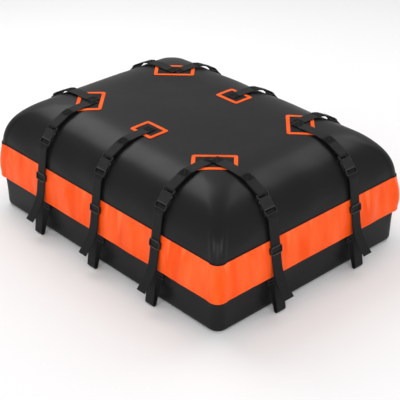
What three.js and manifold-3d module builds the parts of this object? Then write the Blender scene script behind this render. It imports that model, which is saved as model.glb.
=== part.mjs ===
// A soft, box-shaped roof bag with a domed top, filled out. A weather flap runs round its
// waist over the zip. Ten webbing straps, three on each long side and two on each short side,
// start at reinforcing patches on the top and pass over the shoulder. Each is joined by a
// side-release buckle and ends in a loop that takes a roof rail.
// Millimetres, Z up, X along the bag, the origin at the middle of its base.
import * as THREE from 'three';
import { mergeVertices } from 'three/addons/utils/BufferGeometryUtils.js';
import Module from 'manifold-3d';

const wasm = await Module();
wasm.setup();

// Bag shell
const bagLength = 1160;
const bagWidth = 862;
const bagHeight = 430;
const wallHeight = 190;
const shoulderDepth = 250;
const shoulderCurveOut = 2.95;
const shoulderCurveUp = 2.7;
const wallCornerRadius = 38;
const cornerGrowth = 0.22;
const hemRadius = 16;

// Weather flap
const flapTop = 254;
const flapBottom = 127;
const flapBowShare = 0.72;
const flapStandOff = 9.8;
const flapThickness = 1.6;

// Zip
const zipHeight = 168;
const zipTapeWidth = 20;
const zipTapeThickness = 0.8;
const zipChainWidth = 5;
const zipChainRise = 1.8;
const sliderLength = 13;
const sliderWidth = 11;
const sliderRoof = 1.8;
const pullLength = 24;
const pullWidth = 5;
const pullThickness = 1.6;
const sliderEndMargin = 60;

// Reinforcing patches, their outlines drawn as frames
const patchAlongCorner = 150;
const patchAcrossCorner = 96;
const patchAlongSide = 108;
const patchAcrossSide = 84;
const patchBorder = 13;
const patchThickness = 1;
const patchCornerRadius = 8;
const patchInnerRadius = 1;
const patchPastCrossingX = 16;
const patchPastCrossingY = 10;
const sidePatchInset = 232;

// Straps, with their distances in from the walls that they run beside
const longSideStrapInset = 274;
const shortSideStrapInset = 241;
const webbingWidth = 40;
const webbingThickness = 1.6;
const strapEndPastCrossing = 2;
const strapEndPastPatch = 18;
const strapFlatEnd = 10;
const strapLift = 9.5;
const strapLiftStart = 235;
const strapLiftEnd = 110;
const foldedLength = 78;

// Side-release buckle
const buckleDrop = 68;
const buckleStandOff = 8;
const buckleLength = 72;
const buckleWidth = 50;
const buckleThickness = 11;
const housingLength = 47;
const plateThickness = 1.8;
const railWidth = 3.6;
const buckleBarDepth = 4.5;
const buckleBarThickness = 3.6;
const plateInset = 2.5;
const neckInset = 8.5;
const neckStep = 12;
const housingInset = 16;
const housingWallDepth = 4;
const ribThickness = 2;
const femaleRailThickness = 6;
const tongueWidth = 13;
const tongueLength = 22;
const tongueThickness = 5;
const armThickness = 6.2;
const armRootInset = 6;
const armRootWidth = 6;
const armSpringLength = 9;
const armPadInset = 0.5;
const armPadLength = 12;
const armPadRound = 4;
const armHookInset = 7.5;
const armHookDepth = 5;
const maleBaseInset = 2;
const endBarDepth = 4;
const endBarThickness = 2.8;
const ladderSlot = 4.5;
const ladderBarDepth = 3.5;
const ladderBarThickness = 3;

// Lower webbing
const bendBelowBuckle = 14;
const loopPastFlap = 26.1;
const loopRadius = 6.7;
const loopFloorGap = 0.7;
const anchorTop = 150;
const anchorBottom = 96;
const tailStart = 165;
const tailReach = 78;
const tailEndHeight = 68;
const tailBendHeight = 118;
const wrapLeadIn = 0.5;
const wrapClosing = 5;
const bendLength = 9;

// Tri-glides on the lower webbing
const glideHeight = 220;
const glideLength = 30;
const glideWidth = 50;
const glideBarThickness = 2.4;
const glideBarDepth = 4.5;
const glideCornerRadius = 7;
const anchorGlideHeight = 103;
const anchorGlideLength = 26;
const anchorGlideFace = 5.2;
const anchorGlideBarDepth = 4;
const anchorGlideCornerRadius = 6;

// Clearances
const seatGap = 0.3;
const patchSeatGap = 0.5;
const webbingSideGap = 1.3;
const mouthGap = 0.5;
const pastEdge = 2;
const jointOverlap = 0.5;

// Facets
const cornerSteps = 9;
const hemSteps = 3;
const shoulderSteps = 13;
const bowSteps = 5;
const flapCornerSteps = 6;
const strapSteps = 6;
const wrapSteps = 4;
const loopSteps = 7;
const tailSteps = 6;
const patchSideSteps = 5;
const patchCornerSteps = 3;
const halvingSteps = 30;

const shellMaterial = new THREE.MeshStandardMaterial({ color: 0x2c2c2d, roughness: 0.42, metalness: 0 });
const flapMaterial = new THREE.MeshStandardMaterial({ color: 0xff5c20, roughness: 0.38, metalness: 0 });
const webbingMaterial = new THREE.MeshStandardMaterial({ color: 0x202020, roughness: 0.72, metalness: 0 });
const buckleMaterial = new THREE.MeshStandardMaterial({ color: 0x303031, roughness: 0.45, metalness: 0 });
const zipMaterial = new THREE.MeshStandardMaterial({ color: 0x1b1b1b, roughness: 0.6, metalness: 0 });

// A point in a strap's own vertical plane: how far out from the wall, and how high.
const planePoint = (out, up) => new THREE.Vector2(out, up);

// The shell's section. Above the wall it is a superellipse that turns over into the flat top.
const shoulderRise = bagHeight - wallHeight;

function insetAtHeight(height) {
  const climb = Math.max(0, (height - wallHeight) / shoulderRise);
  const remainder = 1 - climb ** shoulderCurveUp;
  return shoulderDepth * (1 - remainder ** (1 / shoulderCurveOut));
}

function heightAtInset(inset) {
  const remainder = Math.max(0, 1 - inset / shoulderDepth) ** shoulderCurveOut;
  return wallHeight + shoulderRise * (1 - remainder) ** (1 / shoulderCurveUp);
}

const radiusAtInset = (inset) => wallCornerRadius + cornerGrowth * inset;

// The outward direction of the shell's section at an inset.
function normalAtInset(inset) {
  const step = 0.5;
  const before = heightAtInset(inset - step);
  const after = heightAtInset(inset + step);
  return planePoint(after - before, 2 * step).normalize();
}

// The top surface over a place in plan.
function topHeight(x, y) {
  const isInside = (inset) => {
    const radius = radiusAtInset(inset);
    const pastX = Math.max(0, Math.abs(x) - (bagLength / 2 - inset - radius));
    const pastY = Math.max(0, Math.abs(y) - (bagWidth / 2 - inset - radius));
    return Math.hypot(pastX, pastY) <= radius;
  };
  if (isInside(shoulderDepth)) {
    return bagHeight;
  }
  let inner = 0;
  let outer = shoulderDepth;
  for (let i = 0; i < halvingSteps; i += 1) {
    const middle = (inner + outer) / 2;
    if (isInside(middle)) {
      inner = middle;
    } else {
      outer = middle;
    }
  }
  return heightAtInset(inner);
}

// A closed mesh from its corners and triangles, turned inside out if its volume is negative.
function closedMesh(points, triangles) {
  let volume = 0;
  for (const [a, b, c] of triangles) {
    volume += points[a].dot(new THREE.Vector3().crossVectors(points[b], points[c]));
  }
  const index = triangles.flatMap(([a, b, c]) => (volume < 0 ? [a, c, b] : [a, b, c]));
  const geometry = new THREE.BufferGeometry().setFromPoints(points);
  geometry.setIndex(index);
  return geometry;
}

// A rounded rectangle in plan as points with their outward directions, anticlockwise.
function ringPath(halfX, halfY, radius, steps) {
  const path = [];
  const corners = [[1, -1], [1, 1], [-1, 1], [-1, -1]];
  corners.forEach(([signX, signY], corner) => {
    for (let i = 0; i <= steps; i += 1) {
      const angle = (corner - 1 + i / steps) * (Math.PI / 2);
      const normal = new THREE.Vector2(Math.cos(angle), Math.sin(angle));
      const centre = new THREE.Vector2(signX * (halfX - radius), signY * (halfY - radius));
      path.push({ point: centre.addScaledVector(normal, radius), normal });
    }
  });
  return path;
}

// Two rows of points joined by a band of triangles; a closed row joins its ends too.
function bandTriangles(first, second, count, closed) {
  const triangles = [];
  const last = closed ? count : count - 1;
  for (let i = 0; i < last; i += 1) {
    const next = (i + 1) % count;
    triangles.push([first + i, first + next, second + next], [first + i, second + next, second + i]);
  }
  return triangles;
}

// Rings of equal count, one above the other, closed by a fan at each end.
function loft(rings) {
  const count = rings[0].length;
  const points = rings.flat();
  const triangles = [];
  for (let i = 0; i < rings.length - 1; i += 1) {
    triangles.push(...bandTriangles(i * count, (i + 1) * count, count, true));
  }
  const bottom = points.push(new THREE.Vector3(0, 0, rings[0][0].z)) - 1;
  const top = points.push(new THREE.Vector3(0, 0, rings[rings.length - 1][0].z)) - 1;
  const lastRing = (rings.length - 1) * count;
  for (let i = 0; i < count; i += 1) {
    const next = (i + 1) % count;
    triangles.push([bottom, next, i], [top, lastRing + i, lastRing + next]);
  }
  return closedMesh(points, triangles);
}

// A section of (out, up) points carried along a path in plan.
function sweep(path, section, closed) {
  const count = section.length;
  const points = path.flatMap(({ point, normal }) => section.map((corner) => new THREE.Vector3(
    point.x + corner.x * normal.x,
    point.y + corner.x * normal.y,
    corner.y,
  )));
  const triangles = [];
  const spans = closed ? path.length : path.length - 1;
  for (let i = 0; i < spans; i += 1) {
    const next = (i + 1) % path.length;
    triangles.push(...bandTriangles(i * count, next * count, count, true));
  }
  if (!closed) {
    const end = (path.length - 1) * count;
    const turn = THREE.ShapeUtils.area(section);
    for (const [a, b, c] of THREE.ShapeUtils.triangulateShape(section, [])) {
      const sameTurn = THREE.ShapeUtils.area([section[a], section[b], section[c]]) * turn > 0;
      const [second, third] = sameTurn ? [c, b] : [b, c];
      triangles.push([a, second, third], [end + a, end + third, end + second]);
    }
  }
  return closedMesh(points, triangles);
}

function bagShell() {
  const rings = [];
  const addRing = (inset, height, radius) => {
    const path = ringPath(bagLength / 2 - inset, bagWidth / 2 - inset, radius, cornerSteps);
    rings.push(path.map(({ point }) => new THREE.Vector3(point.x, point.y, height)));
  };
  for (let i = 0; i <= hemSteps; i += 1) {
    const turn = (i / hemSteps) * (Math.PI / 2);
    const inset = hemRadius * (1 - Math.sin(turn));
    addRing(inset, hemRadius * (1 - Math.cos(turn)), wallCornerRadius - inset);
  }
  for (let i = 0; i <= shoulderSteps; i += 1) {
    const turn = (i / shoulderSteps) * (Math.PI / 2);
    const height = wallHeight + shoulderRise * Math.sin(turn) ** (2 / shoulderCurveUp);
    const inset = shoulderDepth * (1 - Math.cos(turn) ** (2 / shoulderCurveOut));
    addRing(inset, height, radiusAtInset(inset));
  }
  return loft(rings);
}

function weatherFlap() {
  const drop = flapTop - flapBottom;
  const inner = Array.from({ length: bowSteps + 1 }, (_, i) => {
    const turn = (i / bowSteps) * (Math.PI / 2);
    const height = flapTop - drop * flapBowShare * (i / bowSteps);
    const seat = seatGap - insetAtHeight(flapTop);
    return planePoint(seat + (flapStandOff - seat) * Math.sin(turn), height);
  });
  inner.push(planePoint(flapStandOff, flapBottom));
  const outer = inner.map(({ x, y }) => planePoint(x + flapThickness, y)).reverse();
  const path = ringPath(bagLength / 2, bagWidth / 2, wallCornerRadius, flapCornerSteps);
  return sweep(path, [...inner, ...outer], true);
}

const move = (geometry, x, y, z) => geometry.translate(x, y, z);

// Only the corners and triangles, with shared corners merged.
function bare(geometry) {
  geometry.deleteAttribute('normal');
  geometry.deleteAttribute('uv');
  return mergeVertices(geometry);
}

function toSolid(geometry) {
  return new wasm.Manifold(new wasm.Mesh({
    numProp: 3,
    vertProperties: new Float32Array(geometry.attributes.position.array),
    triVerts: new Uint32Array(geometry.index.array),
  }));
}

function toGeometry(solid) {
  const mesh = solid.getMesh();
  const geometry = new THREE.BufferGeometry();
  geometry.setAttribute('position', new THREE.BufferAttribute(mesh.vertProperties, 3));
  geometry.setIndex(new THREE.BufferAttribute(mesh.triVerts, 1));
  return geometry;
}

function join(geometries) {
  return geometries.map(toSolid).reduce((whole, piece) => whole.add(piece));
}

function block([x0, x1], [y0, y1], [z0, z1]) {
  const geometry = bare(new THREE.BoxGeometry(x1 - x0, y1 - y0, z1 - z0));
  return move(geometry, (x0 + x1) / 2, (y0 + y1) / 2, (z0 + z1) / 2);
}

// An outline of (out, up) points given a width across the strap.
function extrudeAcross(outline, width) {
  const shape = new THREE.Shape(outline);
  const geometry = bare(new THREE.ExtrudeGeometry(shape, { depth: width, bevelEnabled: false }));
  const turn = new THREE.Matrix4().makeBasis(
    new THREE.Vector3(0, 1, 0),
    new THREE.Vector3(0, 0, 1),
    new THREE.Vector3(1, 0, 0),
  );
  return move(geometry.applyMatrix4(turn), -width / 2, 0, 0);
}

// An outline of (across, up) points given a thickness from low to high, outwards.
function extrudeOutwards(outline, low, high) {
  const shape = new THREE.Shape(outline);
  const geometry = bare(new THREE.ExtrudeGeometry(shape, { depth: high - low, bevelEnabled: false }));
  const turn = new THREE.Matrix4().makeBasis(
    new THREE.Vector3(1, 0, 0),
    new THREE.Vector3(0, 0, 1),
    new THREE.Vector3(0, -1, 0),
  );
  return move(geometry.applyMatrix4(turn), 0, high, 0);
}

// A moulded bar across a buckle. Its two outer edges are cut off, and all four where
// webbing is wrapped round it.
function crossBar(length, [low, high], [bottom, top], wrapped = false) {
  const cut = Math.min(high - low, top - bottom) * 0.28;
  const outer = [[high - cut, bottom], [high, bottom + cut], [high, top - cut], [high - cut, top]];
  const squareInner = [[low, top], [low, bottom]];
  const cutInner = [[low + cut, top], [low, top - cut], [low, bottom + cut], [low + cut, bottom]];
  const outline = [...outer, ...(wrapped ? cutInner : squareInner)].map(([out, up]) => planePoint(out, up));
  return extrudeAcross(outline, length);
}

const offsetFrom = (point, direction, distance) => point.clone().addScaledVector(direction, distance);
const leftOf = (direction) => planePoint(-direction.y, direction.x);

// The line moved sideways, to its left, with mitred corners.
function offsetLine(line, distance) {
  return line.map((point, i) => {
    const from = line[Math.max(i - 1, 0)];
    const to = line[Math.min(i + 1, line.length - 1)];
    const arriving = point.clone().sub(from);
    const leaving = to.clone().sub(point);
    const first = (arriving.length() > 0 ? arriving : leaving).clone().normalize();
    const second = (leaving.length() > 0 ? leaving : arriving).clone().normalize();
    const side = leftOf(first.clone().add(second).normalize());
    return offsetFrom(point, side, distance / side.dot(leftOf(first)));
  });
}

// The first stretch of a line, of a given length.
function firstStretch(line, length) {
  const stretch = [line[0]];
  let left = length;
  for (let i = 1; i < line.length && left > 0; i += 1) {
    const span = line[i - 1].distanceTo(line[i]);
    stretch.push(line[i - 1].clone().lerp(line[i], Math.min(1, left / span)));
    left -= span;
  }
  return stretch;
}

// One strip of webbing along its middle line.
function webbingStrip(line) {
  const left = offsetLine(line, webbingThickness / 2);
  const right = offsetLine(line, -webbingThickness / 2);
  return extrudeAcross([...left, ...right.reverse()], webbingWidth);
}

// The buckle lies along the shoulder: its middle, the way up along it, and the way out of it.
const buckleHeight = bagHeight - buckleDrop;
const buckleInset = insetAtHeight(buckleHeight);
const buckleOut = normalAtInset(buckleInset);
const buckleUp = leftOf(buckleOut);
const buckleMiddle = offsetFrom(planePoint(-buckleInset, buckleHeight), buckleOut, buckleStandOff);
const buckleTilt = Math.atan2(buckleOut.y, buckleOut.x);
const buckleTop = buckleLength / 2;
const buckleBottom = -buckleLength / 2;

function onBuckle(up, out) {
  return offsetFrom(offsetFrom(buckleMiddle, buckleUp, up), buckleOut, out);
}

// Half a turn of webbing round a bar; side is +1 over its top and -1 under it.
function wrap(barUp, barOut, halfDepth, halfThickness, side) {
  const clear = seatGap + webbingThickness / 2;
  const fullness = 0.6;
  const fuller = (value) => Math.sign(value) * Math.abs(value) ** fullness;
  return Array.from({ length: wrapSteps + 1 }, (_, i) => {
    const angle = (i / wrapSteps) * Math.PI;
    const up = barUp + side * (halfDepth + clear) * fuller(Math.sin(angle));
    return onBuckle(up, barOut - (halfThickness + clear) * fuller(Math.cos(angle)));
  });
}

// From the patch over the shoulder to the bar of the female buckle, round it and back on top.
function upperWebbing(endInset, endLift) {
  const line = [planePoint(-endInset, bagHeight + endLift)];
  const liftStart = Math.min(strapLiftStart, endInset - strapFlatEnd);
  for (let i = 0; i <= strapSteps; i += 1) {
    const share = i / strapSteps;
    const inset = liftStart + (strapLiftEnd - liftStart) * share;
    const lift = endLift + (strapLift - endLift) * share * share * (3 - 2 * share);
    const surface = planePoint(-inset, heightAtInset(inset));
    line.push(offsetFrom(surface, normalAtInset(inset), lift));
  }
  const fold = offsetLine([...line].reverse(), -(webbingThickness + seatGap));
  const barUp = buckleTop - buckleBarDepth / 2;
  const barTurn = wrap(barUp, 0, buckleBarDepth / 2, buckleBarThickness / 2, -1);
  const pastBar = buckleTop + 1;
  const besideBar = buckleBarThickness / 2 + seatGap + webbingThickness / 2;
  const innerSide = onBuckle(pastBar, -besideBar);
  const outerSide = onBuckle(pastBar, besideBar);
  const folded = firstStretch([outerSide, ...fold], foldedLength);
  return webbingStrip([...line, innerSide, ...barTurn, ...folded]);
}

// The ladder bar of the male buckle, set back so that both layers pass behind the end bar.
const endBarInner = buckleThickness / 2 - endBarThickness;
const ladderWrap = ladderBarThickness / 2 + seatGap + webbingThickness / 2;
const ladderBarOut = endBarInner - seatGap - webbingThickness / 2 - ladderWrap;
const ladderBarUp = buckleBottom + endBarDepth + ladderSlot + ladderBarDepth / 2;

// The straight run of the lower webbing, from below the buckle to the loop.
const layerStep = webbingThickness + seatGap;
const runTop = onBuckle(buckleBottom - bendBelowBuckle, ladderBarOut - layerStep / 2);
const loopReach = flapStandOff + flapThickness + loopPastFlap;
const loopCentre = planePoint(loopReach, loopRadius + webbingThickness / 2 + loopFloorGap);

// Where a straight line from a point touches the loop's circle; side picks which of the two.
function touchAngle(point, side) {
  const toPoint = point.clone().sub(loopCentre);
  return toPoint.angle() + side * Math.acos(loopRadius / toPoint.length());
}

const onLoop = (angle) => offsetFrom(loopCentre, planePoint(Math.cos(angle), Math.sin(angle)), loopRadius);
const runFoot = onLoop(touchAngle(runTop, -1));
const runUp = runTop.clone().sub(runFoot).normalize();
const runOut = leftOf(runUp).negate();
const runTilt = Math.atan2(runOut.y, runOut.x);

// The point of the run's back layer at a height.
function onRun(height) {
  return offsetFrom(runFoot, runUp, (height - runFoot.y) / runUp.y);
}

// One strip: sewn to the wall, round the loop, up through the tri-glide, round the ladder bar
// and back down through the tri-glide, to the tail that hangs outside.
function lowerWebbing() {
  const anchorOut = seatGap + webbingThickness / 2;
  const anchor = [planePoint(anchorOut, anchorTop), planePoint(anchorOut, anchorBottom)];
  const start = touchAngle(anchor[1], 1);
  const end = touchAngle(runTop, -1) + 2 * Math.PI;
  const loop = Array.from({ length: loopSteps + 1 }, (_, i) => (
    onLoop(start + ((end - start) % (2 * Math.PI)) * (i / loopSteps))
  ));
  const half = ladderBarDepth / 2;
  const besideBar = ladderBarUp - half - wrapLeadIn;
  const closedUp = besideBar - wrapClosing;
  const turn = wrap(ladderBarUp, ladderBarOut, half, ladderBarThickness / 2, 1);
  const below = buckleBottom - bendBelowBuckle;
  const outer = (height) => offsetFrom(onRun(height), runOut, layerStep);
  const line = [
    ...anchor,
    ...loop,
    runTop,
    onBuckle(closedUp, ladderBarOut - layerStep / 2),
    onBuckle(besideBar, ladderBarOut - ladderWrap),
    ...turn,
    onBuckle(besideBar, ladderBarOut + ladderWrap),
    onBuckle(closedUp, ladderBarOut + layerStep / 2),
    onBuckle(below, ladderBarOut + layerStep / 2),
    outer(runTop.y - bendLength),
  ];
  const tail = new THREE.QuadraticBezierCurve(
    outer(tailStart),
    outer(tailBendHeight),
    planePoint(tailReach, tailEndHeight),
  );
  line.push(...tail.getPoints(tailSteps));
  const strip = webbingStrip(line);
  return toGeometry(toSolid(strip).add(anchorGlide()));
}

// A rounded rectangle in (across, up) for the moulded frames.
function roundedOutline(width, length, radius) {
  const steps = 2;
  return ringPath(width / 2, length / 2, radius, steps).map(({ point }) => point);
}

const windowWidth = webbingWidth + 2 * webbingSideGap;

// The small adjuster on the inner run, low on the wall, in one with the webbing.
function anchorGlide() {
  const outline = roundedOutline(glideWidth, anchorGlideLength, anchorGlideCornerRadius);
  const frame = toSolid(extrudeOutwards(outline, seatGap, anchorGlideFace));
  const halfWindow = windowWidth / 2;
  const windowUp = anchorGlideLength / 2 - anchorGlideBarDepth;
  const through = [-pastEdge, anchorGlideFace + pastEdge];
  const opening = block([-halfWindow, halfWindow], through, [-windowUp, windowUp]);
  const halfBar = anchorGlideBarDepth / 2;
  const bar = crossBar(windowWidth + pastEdge, [seatGap, anchorGlideFace], [-halfBar, halfBar]);
  return frame.subtract(toSolid(opening)).add(toSolid(bar)).translate([0, 0, anchorGlideHeight]);
}

// The tri-glide: both layers pass behind its two outer bars and in front of its middle bar.
function triGlide() {
  const stack = webbingThickness + seatGap / 2 + seatGap;
  const face = stack + glideBarThickness;
  const outline = roundedOutline(glideWidth, glideLength, glideCornerRadius);
  const frame = toSolid(extrudeOutwards(outline, -face, face));
  const halfWindow = windowWidth / 2;
  const windowUp = glideLength / 2 - glideBarDepth;
  const opening = block([-halfWindow, halfWindow], [-face - pastEdge, face + pastEdge], [-windowUp, windowUp]);
  const end = glideLength / 2 + pastEdge;
  const passage = block([-halfWindow, halfWindow], [-face - pastEdge, stack], [-end, end]);
  const halfBar = glideBarDepth / 2;
  const middle = crossBar(windowWidth + pastEdge, [-face, -stack], [-halfBar, halfBar]);
  return toGeometry(frame.subtract(toSolid(opening)).subtract(toSolid(passage)).add(toSolid(middle)));
}

const mirrored = (outline) => outline.map(([across, up]) => [-across, up]).reverse();
const plane = (outline) => outline.map(([across, up]) => planePoint(across, up));
const housingMouth = buckleTop - housingLength;
const housingTop = buckleTop - housingInset;
const halfBuckle = buckleWidth / 2;
const railInner = halfBuckle - railWidth;
const innerHeight = buckleThickness / 2 - plateThickness;

// The female half: a webbing bar, and two plates that hold the male half's arms between them.
function femaleBuckle() {
  const half = buckleThickness / 2;
  const halfMouth = halfBuckle - plateInset;
  const halfNeck = halfBuckle - neckInset;
  const neckTop = housingTop + 2 * jointOverlap;
  const rightEdge = [
    [halfMouth, housingMouth], [halfMouth, housingMouth + neckStep],
    [halfNeck, housingTop - neckStep], [halfNeck, neckTop],
  ];
  const plate = plane([...rightEdge, ...mirrored(rightEdge)]);
  const ribInner = tongueWidth / 2 + 2 * mouthGap;
  const ribOuter = ribInner + ribThickness;
  const ribHeight = innerHeight + jointOverlap;
  const halfRail = femaleRailThickness / 2;
  const barSection = [-buckleBarThickness / 2, buckleBarThickness / 2];
  const pieces = [
    crossBar(buckleWidth, barSection, [buckleTop - buckleBarDepth, buckleTop], true),
    block([-halfBuckle, halfBuckle], [-half, half], [housingTop, housingTop + housingWallDepth]),
    extrudeOutwards(plate, innerHeight, half),
    extrudeOutwards(plate, -half, -innerHeight),
  ];
  for (const side of [-1, 1]) {
    const rail = [side * railInner, side * halfBuckle].sort((a, b) => a - b);
    const rib = [side * ribInner, side * ribOuter].sort((a, b) => a - b);
    pieces.push(block(rail, [-halfRail, halfRail], [neckTop, buckleTop - 2 * jointOverlap]));
    pieces.push(block(rib, [-ribHeight, ribHeight], [housingMouth, neckTop]));
  }
  return toGeometry(join(pieces));
}

// The male half: a ladder frame for the webbing, a middle tongue and two sprung arms.
function maleBuckle() {
  const base = housingMouth - mouthGap;
  const baseBottom = ladderBarUp + ladderBarDepth / 2 + webbingThickness + 2 * seatGap + mouthGap;
  const front = buckleThickness / 2;
  const halfArm = armThickness / 2;
  const padTop = housingTop - mouthGap;
  const root = base - 2 * jointOverlap;
  const spring = base + armSpringLength;
  const rootOuter = halfBuckle - armRootInset;
  const rootInner = rootOuter - armRootWidth;
  const padOuter = halfBuckle - armPadInset;
  const hookOuter = halfBuckle - armHookInset;
  const arm = [
    [rootInner, root], [rootOuter, root], [rootOuter, spring], [padOuter, padTop - armPadLength],
    [padOuter, padTop - armPadRound], [padOuter - armPadRound, padTop], [hookOuter, padTop],
    [hookOuter - maleBaseInset, padTop - armHookDepth], [rootInner, spring],
  ];
  const halfBase = halfBuckle - maleBaseInset;
  const halfTongue = tongueThickness / 2;
  const endBar = [buckleBottom, buckleBottom + endBarDepth];
  const ladderBar = [ladderBarUp - ladderBarDepth / 2, ladderBarUp + ladderBarDepth / 2];
  const ladderSection = [ladderBarOut - ladderBarThickness / 2, ladderBarOut + ladderBarThickness / 2];
  const pieces = [
    block([-halfBase, halfBase], [seatGap - front, front - seatGap], [baseBottom, base]),
    crossBar(buckleWidth, [endBarInner, front], endBar),
    crossBar(buckleWidth, ladderSection, ladderBar, true),
    block([-tongueWidth / 2, tongueWidth / 2], [-halfTongue, halfTongue], [root, base + tongueLength]),
    extrudeOutwards(plane(arm), -halfArm, halfArm),
    extrudeOutwards(plane(mirrored(arm)), -halfArm, halfArm),
  ];
  for (const side of [-1, 1]) {
    const rail = [side * railInner, side * halfBuckle].sort((a, b) => a - b);
    const railTop = baseBottom + railWidth;
    pieces.push(block(rail, [-front / 2, front], [buckleBottom + jointOverlap, railTop]));
  }
  return toGeometry(join(pieces));
}

// The outline of a reinforcing patch as a flat frame that follows the top.
function patchFrame(centreX, centreY, along, across, turn) {
  const spread = (halfX, halfY, radius) => {
    const ring = ringPath(halfX, halfY, radius, patchCornerSteps).map(({ point }) => point);
    return ring.flatMap((point, i) => {
      const next = ring[(i + 1) % ring.length];
      const straight = (i + 1) % (patchCornerSteps + 1) === 0;
      const count = straight ? patchSideSteps : 1;
      return Array.from({ length: count }, (_, k) => point.clone().lerp(next, k / count));
    });
  };
  const outer = spread(along / 2, across / 2, patchCornerRadius);
  const inner = spread(along / 2 - patchBorder, across / 2 - patchBorder, patchInnerRadius);
  const place = (point, lift) => {
    const turned = point.clone().rotateAround(planePoint(0, 0), turn);
    const x = centreX + turned.x;
    const y = centreY + turned.y;
    return new THREE.Vector3(x, y, topHeight(x, y) + lift);
  };
  const sections = outer.map((point, i) => [
    place(point, patchSeatGap),
    place(point, patchSeatGap + patchThickness),
    place(inner[i], patchSeatGap + patchThickness),
    place(inner[i], patchSeatGap),
  ]);
  const count = sections[0].length;
  const triangles = sections.flatMap((_, i) => (
    bandTriangles(i * count, ((i + 1) % sections.length) * count, count, true)
  ));
  return closedMesh(sections.flat(), triangles);
}

// The zip under the flap: tape and closed chain round both ends and the rear side.
function zipChain() {
  const chainBase = seatGap + zipTapeThickness;
  const section = [
    [seatGap, -zipTapeWidth / 2],
    [chainBase, -zipTapeWidth / 2],
    [chainBase, -zipChainWidth / 2],
    [chainBase + zipChainRise, -zipChainWidth / 2],
    [chainBase + zipChainRise, zipChainWidth / 2],
    [chainBase, zipChainWidth / 2],
    [chainBase, zipTapeWidth / 2],
    [seatGap, zipTapeWidth / 2],
  ].map(([out, up]) => planePoint(out, zipHeight + up));
  const ring = ringPath(bagLength / 2, bagWidth / 2, wallCornerRadius, flapCornerSteps);
  const perCorner = flapCornerSteps + 1;
  const endY = -bagWidth / 2 + wallCornerRadius + sliderEndMargin / 2;
  const right = { point: planePoint(bagLength / 2, endY), normal: planePoint(1, 0) };
  const left = { point: planePoint(-bagLength / 2, endY), normal: planePoint(-1, 0) };
  return sweep([right, ...ring.slice(perCorner, 3 * perCorner), left], section, false);
}

// The slider straddles the chain; its pull lies along it.
function zipSlider() {
  const low = seatGap + zipTapeThickness + seatGap;
  const channelTop = seatGap + zipTapeThickness + zipChainRise + seatGap;
  const roof = channelTop + sliderRoof;
  const halfChannel = zipChainWidth / 2 + seatGap;
  const body = toSolid(block([0, sliderLength], [low, roof], [-sliderWidth / 2, sliderWidth / 2]));
  const channel = block([-pastEdge, sliderLength + pastEdge], [-pastEdge, channelTop], [-halfChannel, halfChannel]);
  const pullEnd = sliderLength / 2 + pullLength;
  const pull = block([sliderLength / 2, pullEnd], [roof - pullThickness, roof + 0.4], [-pullWidth / 2, pullWidth / 2]);
  return toGeometry(body.subtract(toSolid(channel)).add(toSolid(pull)));
}

const model = new THREE.Group();

function addPiece(parent, name, geometry, material) {
  const mesh = new THREE.Mesh(geometry, material);
  mesh.name = name;
  parent.add(mesh);
  return mesh;
}

addPiece(model, 'bag_body', bagShell(), shellMaterial);
addPiece(model, 'rain_flap', weatherFlap(), flapMaterial);
addPiece(model, 'zip_chain', zipChain(), zipMaterial);

const sliderStart = -bagWidth / 2 + wallCornerRadius + sliderEndMargin;
const slider = addPiece(model, 'zip_slider', zipSlider(), buckleMaterial);
slider.rotation.z = Math.PI / 2;
slider.position.set(-bagLength / 2, sliderStart, zipHeight);

const longSideStrapX = bagLength / 2 - longSideStrapInset;
const shortSideStrapY = bagWidth / 2 - shortSideStrapInset;
const cornerPatchX = longSideStrapX + patchPastCrossingX;
const cornerPatchY = shortSideStrapY + patchPastCrossingY;
const sidePatchY = bagWidth / 2 - sidePatchInset;

for (const [nameX, signX] of [['left', -1], ['right', 1]]) {
  for (const [nameY, signY] of [['front', -1], ['rear', 1]]) {
    const turn = signX * signY * (-Math.PI / 4);
    const frame = patchFrame(signX * cornerPatchX, signY * cornerPatchY, patchAlongCorner, patchAcrossCorner, turn);
    addPiece(model, `patch_${nameY}_${nameX}`, frame, flapMaterial);
  }
}
for (const [name, sign] of [['front', -1], ['rear', 1]]) {
  const frame = patchFrame(0, sign * sidePatchY, patchAlongSide, patchAcrossSide, 0);
  addPiece(model, `patch_${name}_middle`, frame, flapMaterial);
}

const overPatch = patchSeatGap + patchThickness + seatGap + webbingThickness / 2;
const overWebbing = overPatch + webbingThickness + seatGap;
const upperShapes = {
  corner: upperWebbing(shortSideStrapInset + strapEndPastCrossing, overPatch),
  middle: upperWebbing(sidePatchInset + strapEndPastPatch, overPatch),
  end: upperWebbing(longSideStrapInset + strapEndPastCrossing, overWebbing),
};
const lowerShape = lowerWebbing();
const femaleShape = femaleBuckle();
const maleShape = maleBuckle();
const glideShape = triGlide();

// One strap with its buckle, standing on a wall of the bag and turned to face out of it.
function addStrap(name, upperShape, x, y, turn) {
  const strap = new THREE.Group();
  strap.position.set(x, y, 0);
  strap.rotation.z = turn;
  model.add(strap);
  addPiece(strap, `upper_webbing_${name}`, upperShape, webbingMaterial);
  addPiece(strap, `lower_webbing_${name}`, lowerShape, webbingMaterial);
  const buckle = new THREE.Group();
  buckle.position.set(0, buckleMiddle.x, buckleMiddle.y);
  buckle.rotation.x = buckleTilt;
  strap.add(buckle);
  addPiece(buckle, `female_buckle_${name}`, femaleShape, buckleMaterial);
  addPiece(buckle, `male_buckle_${name}`, maleShape, buckleMaterial);
  const glide = addPiece(strap, `tri_glide_${name}`, glideShape, buckleMaterial);
  const seat = offsetFrom(onRun(glideHeight), runOut, layerStep / 2);
  glide.position.set(0, seat.x, seat.y);
  glide.rotation.x = runTilt;
}

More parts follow.
